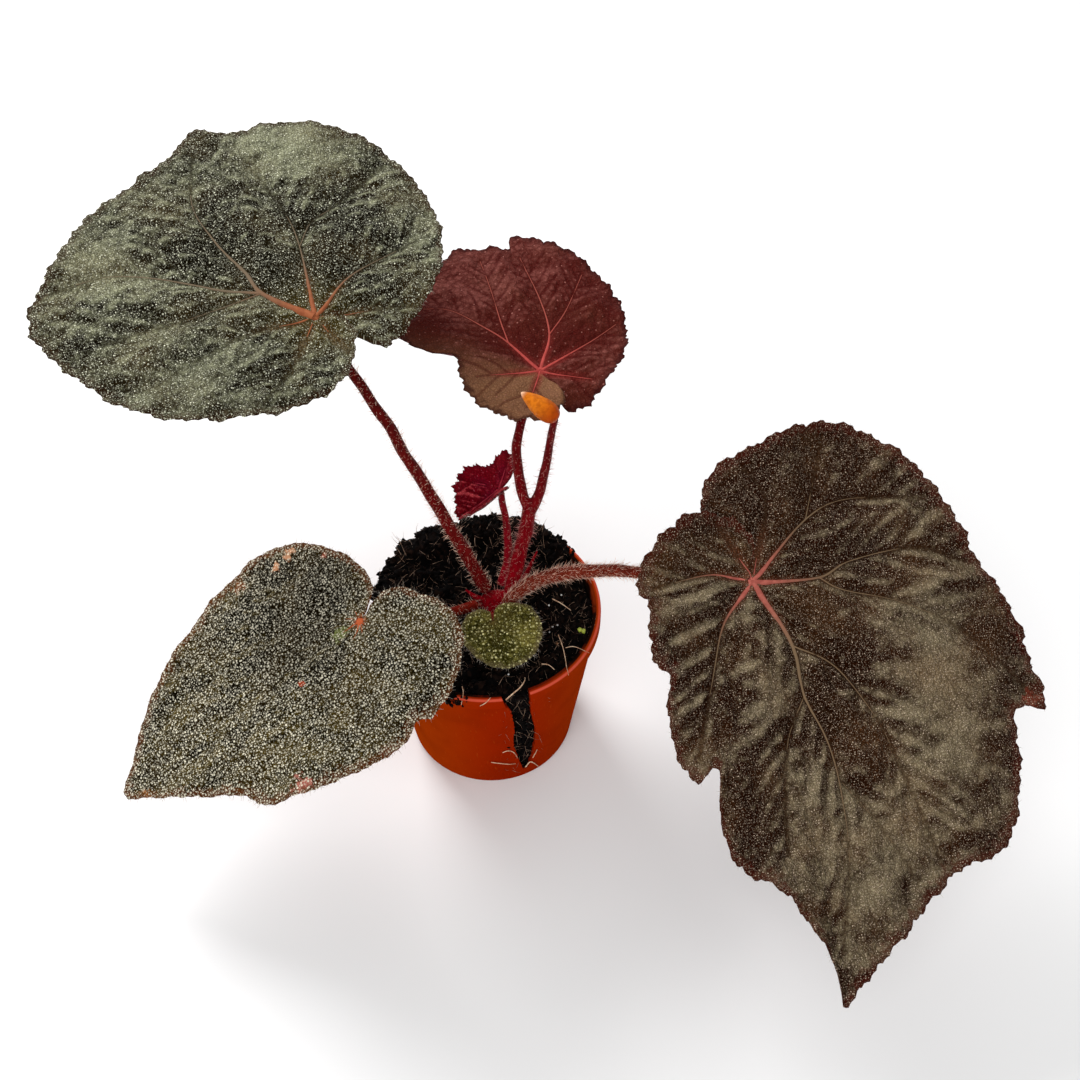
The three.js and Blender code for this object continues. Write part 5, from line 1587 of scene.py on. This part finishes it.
# One side of the split with small tears in its edge
def torn(side, seed):
    points = []
    for (x0, z0), (x1, z1) in zip(side, side[1:]):
        count = max(1, round(math.hypot(x1 - x0, z1 - z0) / tearStep))
        for k in range(count):
            t = k / count
            jag = sum(deep * noise.noise((k * often, z0, seed + more)) for often, deep, more in tearJags)
            points.append((x0 + (x1 - x0) * t + jag, z0 + (z1 - z0) * t))
    return points + [side[-1]]


weldGap = 2e-6  # metres


# A mesh without what the cutters take from it, welded so that it stays closed
def cutFrom(mesh, cutters):
    source = heldBy(mesh)
    tools = [heldBy(cutter) for cutter in cutters]
    for tool in tools:
        cut = source.modifiers.new("cut", "BOOLEAN")
        cut.operation = "DIFFERENCE"
        cut.solver = "EXACT"
        cut.object = tool
    result = bakedMesh(source)
    for tool in tools:
        bpy.data.objects.remove(tool)
    tidied = bmesh.new()
    tidied.from_mesh(result)
    bmesh.ops.remove_doubles(tidied, verts=tidied.verts, dist=weldGap)
    bmesh.ops.dissolve_degenerate(tidied, dist=weldGap, edges=tidied.edges)
    bmesh.ops.holes_fill(tidied, edges=[edge for edge in tidied.edges if edge.is_boundary])
    bmesh.ops.recalc_face_normals(tidied, faces=tidied.faces)
    tidied.to_mesh(result)
    tidied.free()
    return result


def potMaterial():
    material, tree, sockets = newMaterial("pot_plastic", {"Specular IOR Level": 0.0})
    place = objectPlace(tree)
    parts = put(tree, "ShaderNodeSeparateXYZ", {0: place}).outputs
    # Painted light and shade across the round wall: lighter orange towards the left and the right, darker
    # red in the middle
    side = ramp(tree, parts[0], -0.03, 0.006)
    farSide = ramp(tree, parts[0], 0.008, 0.034)
    colour = mixed(tree, side, srgb(158, 56, 4), srgb(140, 30, 2))
    colour = mixed(tree, farSide, colour, srgb(156, 50, 6))
    dust = mottled(tree, place, 90.0, 0.4, 0.75)
    colour = mixed(tree, times(tree, dust, 0.25), colour, srgb(104, 24, 2))
    long = vectorMaths(tree, "MULTIPLY", place, (1.0, 1.0, 0.15))
    scuffs = mottled(tree, long, 1500.0, 0.62, 0.74)
    colour = mixed(tree, times(tree, scuffs, 0.25), colour, srgb(190, 84, 30))
    flat = vectorMaths(tree, "MULTIPLY", place, (1.0, 1.0, 0.0))
    radius = put(tree, "ShaderNodeVectorMath", {0: flat}, operation="LENGTH").outputs["Value"]
    # A thin salmon band along the rim's outer top edge is a painted highlight
    above = ramp(tree, parts[2], 59.4 * mm, 59.9 * mm)
    edge = times(tree, above, ramp(tree, radius, 34 * mm, 34.5 * mm))
    colour = mixed(tree, times(tree, edge, 0.7), colour, srgb(222, 92, 70))
    # The inner wall above about 45 mm is darkened nearly to black, more strongly in patches
    patchy = mottled(tree, place, 160.0, 0.35, 0.6)
    slant = minus(tree, radius, times(tree, parts[2], wallLean / wallTop))
    inside = ramp(tree, slant, 25.5 * mm, 26 * mm, 1.0, 0.0)
    darkInside = times(tree, inside, ramp(tree, patchy, 0.0, 1.0, 0.55, 1.0))
    darkInside = times(tree, darkInside, ramp(tree, parts[2], 44 * mm, 46 * mm))
    colour = mixed(tree, darkInside, colour, srgb(22, 11, 7))
    tree.links.new(colour, sockets["Base Color"])
    tree.links.new(ramp(tree, dust, 0.0, 1.0, 0.32, 0.55), sockets["Roughness"])
    bumped(tree, sockets, plus(tree, dust, scuffs), 0.05)
    return material


def potMesh():
    rim, height, bottom = pot["rim"], pot["height"], pot["floor"]
    inner, lipFoot = innerRadius(wallTop), wallTop - pot["lipSlope"]
    profile = rounded([
        (0, 0, 0), (pot["base"], 0, 0.9), (wallRadius(lipFoot), lipFoot, 0.5), (rim, wallTop, 0.5),
        (rim, height, 0.6), (inner, height, 0.5), (inner, wallTop, 0), (innerRadius(bottom), bottom, 0.8),
        (0, bottom, 0),
    ])
    shell = lathed(profile, pot["sides"])
    heading = radians(split["heading"])
    c, s = math.cos(heading), math.sin(heading)
    tear = prism(
        torn(splitLeft, 1) + torn(splitRight, 2), split["inner"], split["outer"],
        lambda x, z, y: (x * c - y * s, x * s + y * c, z),
    )
    cutters = [tear]
    for i in range(drainHoles["count"]):
        turn = 2 * math.pi * (i + 0.5) / drainHoles["count"]
        cx, cy = drainHoles["circle"] * math.cos(turn), drainHoles["circle"] * math.sin(turn)
        turns = np.arange(drainHoles["sides"]) * 2 * np.pi / drainHoles["sides"]
        r = drainHoles["radius"]
        ring = [(cx + r * math.cos(a), cy + r * math.sin(a)) for a in turns]
        cutters.append(prism(ring, -1, bottom + 1, lambda x, y, z: (x, y, z)))
    return cutFrom(shell, cutters)


mesh = potMesh()
mesh.materials.clear()
mesh.materials.append(potMaterial())
addPiece("nursery_pot", mesh, ["pot"])
mesh.set_sharp_from_angle(angle=radians(40))
print("pot made", len(mesh.polygons), "faces")


# Soil: its level and crumbs, the lumps as (x, y, rise, spread), and the clods that lie on the rim as
# (heading, reach, width, rise)
soilLevel = 57.4
crumbs = {"rise": 0.5, "along": 0.62, "across": 0.55, "sides": 120, "rings": 40, "square": 0.6}
soilLumps = (
    (-27, 14, 4.6, 8), (-16, 27, 4.4, 7), (0, 30, 4.2, 7), (19, 25, 2.6, 6), (-31, -3, 3.8, 6),
    (-21, -22, 3, 6), (3, -27, 1.6, 6), (27, 6, -1.8, 9), (16, -8, -1.2, 8),
)
clodDepth = 4.8
clods = (
    (187, 30.4, 5.6, 2.2), (172, 31.2, 6.4, 2.6), (157, 31.8, 6, 2.3), (140, 32, 7, 3.2),
    (127, 31.6, 6, 3.5), (113, 30.6, 6.4, 2.4), (100, 30.6, 5.6, 3), (90, 30.8, 6, 3.7),
    (76, 31, 5.8, 2.5), (62, 31, 6.6, 2.2), (48, 30.6, 5.4, 1.6),
)
soilEdge = innerRadius(soilLevel) - gap
peatDark = (2, 1, 1)


def soilHeight(x, y):
    rough = np.sin(crumbs["along"] * x) * np.cos(crumbs["across"] * y) + np.sin(crumbs["along"] * (y - x))
    height = soilLevel + crumbs["rise"] * rough
    for lx, ly, rise, spread in soilLumps:
        height += rise * np.exp(-((x - lx) ** 2 + (y - ly) ** 2) / spread**2)
    return height


def peatMaterial(name, light):
    material, tree, sockets = newMaterial(name, {"Roughness": 0.9, "Specular IOR Level": 0.06})
    place = objectPlace(tree)
    grains = put(tree, "ShaderNodeTexVoronoi", {"Vector": place, "Scale": 700.0})
    draw = put(tree, "ShaderNodeSeparateColor", {0: grains.outputs["Color"]}).outputs[0]
    patches = mottled(tree, place, 120.0, 0.35, 0.75)
    share = times(tree, ramp(tree, draw, 0.3, 1.0), plus(tree, patches, 0.25))
    tree.links.new(mixed(tree, share, srgb(*peatDark), srgb(*light)), sockets["Base Color"])
    bumped(tree, sockets, plus(tree, grains.outputs["Distance"], patches), 0.5)
    return material


def soilMesh():
    sides, rings = crumbs["sides"], crumbs["rings"]
    bottom = pot["floor"] + gap
    turns = np.arange(sides) * 2 * np.pi / sides
    points = [(0, 0, float(soilHeight(0.0, 0.0)))]
    for share in (np.arange(rings) + 1) / rings:
        x, y = share * soilEdge * np.cos(turns), share * soilEdge * np.sin(turns)
        points += list(zip(x, y, soilHeight(x, y)))
    low = innerRadius(bottom) - gap
    points += list(zip(low * np.cos(turns), low * np.sin(turns), np.full(sides, bottom)))
    points.append((0, 0, bottom))
    # The rings run outwards and down, so the faces are turned round
    faces = [(face[0], *face[:0:-1]) for face in turnedFaces(rings + 1, sides)]
    mesh = newMesh("soil", np.array(points) * mm, faces)
    body = bmesh.new()
    body.from_mesh(mesh)
    for heading, reach, width, rise in clods:
        lump = bmesh.ops.create_icosphere(body, subdivisions=3, radius=1)["verts"]
        h = radians(heading)
        for vertex in lump:
            u, v, w = vertex.co
            w = max(w, 0) if math.hypot(reach + clodDepth * u, width * v) > soilEdge else w
            x, y = reach + clodDepth * u, width * v
            z = pot["height"] + gap + rise * w
            vertex.co = (x * math.cos(h) - y * math.sin(h), x * math.sin(h) + y * math.cos(h), z)
            vertex.co *= mm
    body.to_mesh(mesh)
    body.free()
    return melted(mesh, crumbs["square"])


# How peat lies open: on its top, where it is nearly level, and in the split
peatForm = {
    "rimGap": 0.1, "topDepth": 3, "level": 0.2, "levelBand": 0.3, "splitLoose": 0.8, "wallBand": 0.5,
    "rough": 0.3, "roughTop": 1.1, "noises": ((0.45, 0.7), (1.1, 0.5), (2.4, 0.25)),
}
openSplit = {"halfTurn": 13, "from": 4, "outside": 20}


# Peat is rough where it lies open: over the rim, on top and in the split
def roughen(mesh):
    count = len(mesh.vertices)
    places = np.zeros(count * 3)
    mesh.vertices.foreach_get("co", places)
    places = places.reshape(-1, 3) / mm
    normals = np.zeros(count * 3)
    mesh.vertices.foreach_get("normal", normals)
    normals = normals.reshape(-1, 3)
    x, y, z = places.T
    heading = np.degrees(np.arctan2(x, -y))
    nearSplit = np.abs(heading - split["heading"]) < openSplit["halfTurn"]
    openSide = nearSplit & (z > openSplit["from"]) & (np.hypot(x, y) > openSplit["outside"])
    top = z > soilLevel - peatForm["topDepth"]
    level = smooth((normals[:, 2] - peatForm["level"]) / peatForm["levelBand"])
    loose = np.maximum(level * top, openSide * peatForm["splitLoose"])
    rough = np.array([
        sum(noise.noise(p * scale) * much for scale, much in peatForm["noises"]) for p in map(Vector, places)
    ])
    atWall = (np.hypot(x, y) > soilEdge - peatForm["wallBand"]) & (normals[:, 2] < 0.5)
    free = ~(atWall & ~openSide & (z < pot["height"]))
    amount = rough * (peatForm["rough"] + peatForm["roughTop"] * top) * free
    moved = places + normals * amount[:, None]
    # Peat keeps off the wall, and lies on the rim where it comes over it
    reach = np.hypot(moved[:, 0], moved[:, 1])
    overRim = (z > pot["height"]) & (reach > soilEdge)
    moved[overRim, 2] = np.maximum(moved[overRim, 2], pot["height"] + peatForm["rimGap"])
    inPot = (z <= pot["height"]) & (reach > soilEdge) & ~openSide
    moved[inPot, :2] *= (soilEdge / reach[inPot])[:, None]
    moved *= mm
    mesh.vertices.foreach_set("co", moved.ravel())
    mesh.update()
    storeValues(mesh, "loose", loose)
    storeValues(mesh, "hairy", loose)


# Loose grains, with their smallest and largest sizes in millimetres
grainLayers = {
    "peat_crumbs": {
        "density": 1.3e6, "seed": 3, "sizes": (0.22, 1.5), "facets": 1,
        "look": "peat_crumbs", "light": (27, 15, 10),
    },
    "peat_lumps": {
        "density": 0.09e6, "seed": 9, "sizes": (0.8, 2.1), "facets": 2,
        "look": "peat_lumps", "light": (30, 17, 11),
    },
    "spilt_crumbs": {
        "density": 5e6, "seed": 21, "sizes": (0.25, 1.5), "facets": 1,
        "look": "spilt_peat", "light": (34, 20, 13),
    },
}


def grainsOn(mesh, name):
    layer = grainLayers[name]
    smallest, largest = layer["sizes"]
    return grownMesh(mesh, grainTree, {
        "Density": layer["density"], "Seed": layer["seed"], "Smallest": smallest * mm,
        "Largest": largest * mm, "Facets": layer["facets"],
        "Material": peatMaterial(layer["look"], layer["light"]),
    })


peatLook = peatMaterial("peat", (18, 10, 7))
mesh = soilMesh()
roughen(mesh)
layers = {name: grainsOn(mesh.copy(), name) for name in ("peat_crumbs", "peat_lumps")}
fibres = grownMesh(mesh.copy(), hairTree, {
    "Density": 0.2e6, "Seed": 12, "Length": 3 * mm, "Spread": 0.65, "Thickness": 0.026, "Lean": 1.35,
    "Sweep": 0.0, "Material": twoToneMaterial("fibre", (62, 38, 26), (170, 140, 116)),
})
mesh.materials.clear()
mesh.materials.append(peatLook)
addPiece("peat_plug", mesh, ["soil"])
for name, grains in layers.items():
    addPiece(name, grains, ())
addPiece("peat_fibres", fibres)

# Crumbs spilt over the rim: headings from and to, how thickly they lie, and (radius, height) across the rim
spills = ((212, 262, 1), (36, 60, 0.5))
spillSteps = 24
spillProfile = ((32.6, 59), (34.2, 60), (35, 59.8), (35.1, 56))


def spillMesh():
    points, faces, loose = [], [], []
    for start, end, amount in spills:
        turns = np.radians(np.linspace(start, end, spillSteps))
        for number, turn in enumerate(turns):
            first = len(points)
            for r, z in spillProfile:
                points.append((r * math.cos(turn), r * math.sin(turn), z))
            fade = math.sin(math.pi * number / (spillSteps - 1))
            loose += [amount * fade, amount * fade, amount * fade, 0.4 * amount**2 * fade]
            if number:
                faces += [(first - 4 + k, first + k, first + k + 1, first - 3 + k) for k in range(3)]
    mesh = newMesh("spill", np.array(points) * mm, [face[::-1] for face in faces])
    storeValues(mesh, "loose", loose)
    return mesh


addPiece("spilt_crumbs", grainsOn(spillMesh(), "spilt_crumbs"), ())

# Rootlets, each a path over the soil or the pot's wall with its radius
rootlets = {
    "overRim": (
        ((6, -35, 61), (8.1, -33, 61.3), (10.2, -30.6, 61), (11.5, -28, 60.6), (11.6, -26.4, 60)), 0.22,
    ),
    "long": (((21.7, -10.4, 59.6), (22.8, -14.8, 60.6), (23.5, -18.6, 60.9), (24.3, -24.5, 60.8)), 0.14),
    "back": (((20, 4.1, 58.6), (22.7, 1.8, 59.3), (25.7, -0.5, 58.8)), 0.16),
    "edge": (((23.9, -15, 59.3), (26.6, -15.1, 60), (31, -17.7, 60.4)), 0.12),
    "front": (((16.6, -20.8, 59), (18.6, -21.6, 59.8), (20.5, -23, 59.2)), 0.16),
    "lip": (((-1.7, -35.2, 58), (0, -35.3, 59.8), (1.5, -33.8, 60.4)), 0.14),
    "drop": (((23.8, -20.4, 60.4), (24.1, -23, 60.6), (24.7, -25.9, 60.4)), 0.12),
    "leftDrop": (((-7.1, -29.9, 60.4), (-6.7, -32.5, 60.8), (-7.3, -35.2, 58.4)), 0.12),
    "arc": (
        ((4.3, -29.6, 22.7), (5.7, -29.5, 23.5), (7.1, -29.1, 22.7), (8.2, -28.6, 20.3), (8.9, -28, 16.8)),
        0.14,
    ),
    "line": (((0.5, -29, 15.9), (3.2, -28.8, 14.9), (6, -28.2, 13.4), (8.3, -27.4, 12.4)), 0.16),
    "loop": (((11.4, -25.6, 7.4), (12.8, -25.2, 9.8), (14, -24.3, 7.8), (15.6, -22.4, 2.4)), 0.2),
    "hook": (((13.8, -25, 12.3), (14.7, -25, 15.2), (15.2, -24.9, 17)), 0.16),
}
rootletStep = 0.6
paths = []
for points, radius in rootlets.values():
    count = round(pathLength(points) / rootletStep) + 2
    centre = smoothPath(points, count)
    paths.append((centre, radius * (1 - 0.5 * np.linspace(0, 1, count + 1) ** 3), np.zeros(count + 1)))
roots = grownMesh(pathMesh(paths), limbTree, {
    "Sides": 6, "Material": twoToneMaterial("rootlet", (170, 124, 92), (226, 196, 164)),
})
addPiece("rootlets", roots)

# Small bits on the soil, with their places from above
bits = {
    "perlite": {
        "places": (
            (18.9, 2.5), (17.3, -4), (20, -5.4), (21.5, -4.9), (19, -7.9), (8, -28), (6.6, -24.2),
            (22.8, 7.3),
        ),
        "size": 0.42, "seed": 2, "look": "perlite", "dark": (190, 188, 184), "light": (232, 230, 226),
    },
    "moss_bit": {
        "places": ((29.6, -8.1), (28.4, -7.4)),
        "size": 1.1, "seed": 5, "look": "moss", "dark": (124, 140, 44), "light": (176, 182, 70),
    },
    "bark_bit": {
        "places": ((21.4, -12), (22.8, -12.6)),
        "size": 0.7, "seed": 8, "look": "bark", "dark": (84, 54, 30), "light": (128, 84, 48),
    },
}


def pebbles(bit):
    seed = bit["seed"]
    body = bmesh.new()
    for i, (x, y) in enumerate(bit["places"]):
        z = float(soilHeight(np.float64(x), np.float64(y))) + 0.6
        radius = bit["size"] * (0.7 + 0.5 * noise.noise((i * 1.7, seed, 0)))
        for vertex in bmesh.ops.create_icosphere(body, subdivisions=2, radius=1)["verts"]:
            dent = 1 + 0.5 * noise.noise(vertex.co * 1.6 + Vector((i * 3, seed, 0)))
            vertex.co = (Vector((x, y, z)) + vertex.co * radius * dent) * mm
    mesh = bpy.data.meshes.new("pebbles")
    body.to_mesh(mesh)
    body.free()
    mesh.materials.append(twoToneMaterial(bit["look"], bit["dark"], bit["light"]))
    return mesh


for name, bit in bits.items():
    addPiece(name, pebbles(bit))
print("soil made")


# Floor, lights and camera
def stageMaterial():
    return newMaterial("floor", {
        "Base Color": (0.86, 0.86, 0.86, 1), "Roughness": 0.9, "Specular IOR Level": 0.1,
    })[0]


floorMesh = newMesh("floor", [(-3, -3, 0), (3, -3, 0), (3, 3, 0), (-3, 3, 0)], [(0, 1, 2, 3)])
floorMesh.materials.append(stageMaterial())
floor = bpy.data.objects.new("floor", floorMesh)
collection.objects.link(floor)


def addLight(name, place, aim, size, power, colour=(1, 1, 1)):
    light = bpy.data.lights.new(name, "AREA")
    light.shape = "DISK"
    light.size = size
    light.energy = power
    light.color = colour
    lamp = bpy.data.objects.new(name, light)
    lamp.location = place
    lamp.rotation_euler = (Vector(aim) - Vector(place)).to_track_quat("-Z", "Y").to_euler()
    collection.objects.link(lamp)


addLight("key", (-0.4, 0.62, 0.72), (0, 0, 0.08), 0.45, 8)
addLight("fill", (-0.1, -0.7, 0.75), (0, 0, 0.08), 0.8, 5)

world = bpy.data.worlds.new("studio")
world.use_nodes = True
world.node_tree.nodes["Background"].inputs["Color"].default_value = (1, 1, 1, 1)
world.node_tree.nodes["Background"].inputs["Strength"].default_value = 0.6
bpy.context.scene.world = world

camera = bpy.data.cameras.new("camera")
camera.lens = 55
camera.sensor_width = 36
cameraObject = bpy.data.objects.new("camera", camera)
cameraObject.location = (0.0161, -0.3054, 0.4700)
cameraObject.rotation_euler = (radians(39), 0, 0)
collection.objects.link(cameraObject)
bpy.context.scene.camera = cameraObject
bpy.context.scene.view_settings.view_transform = "Standard"
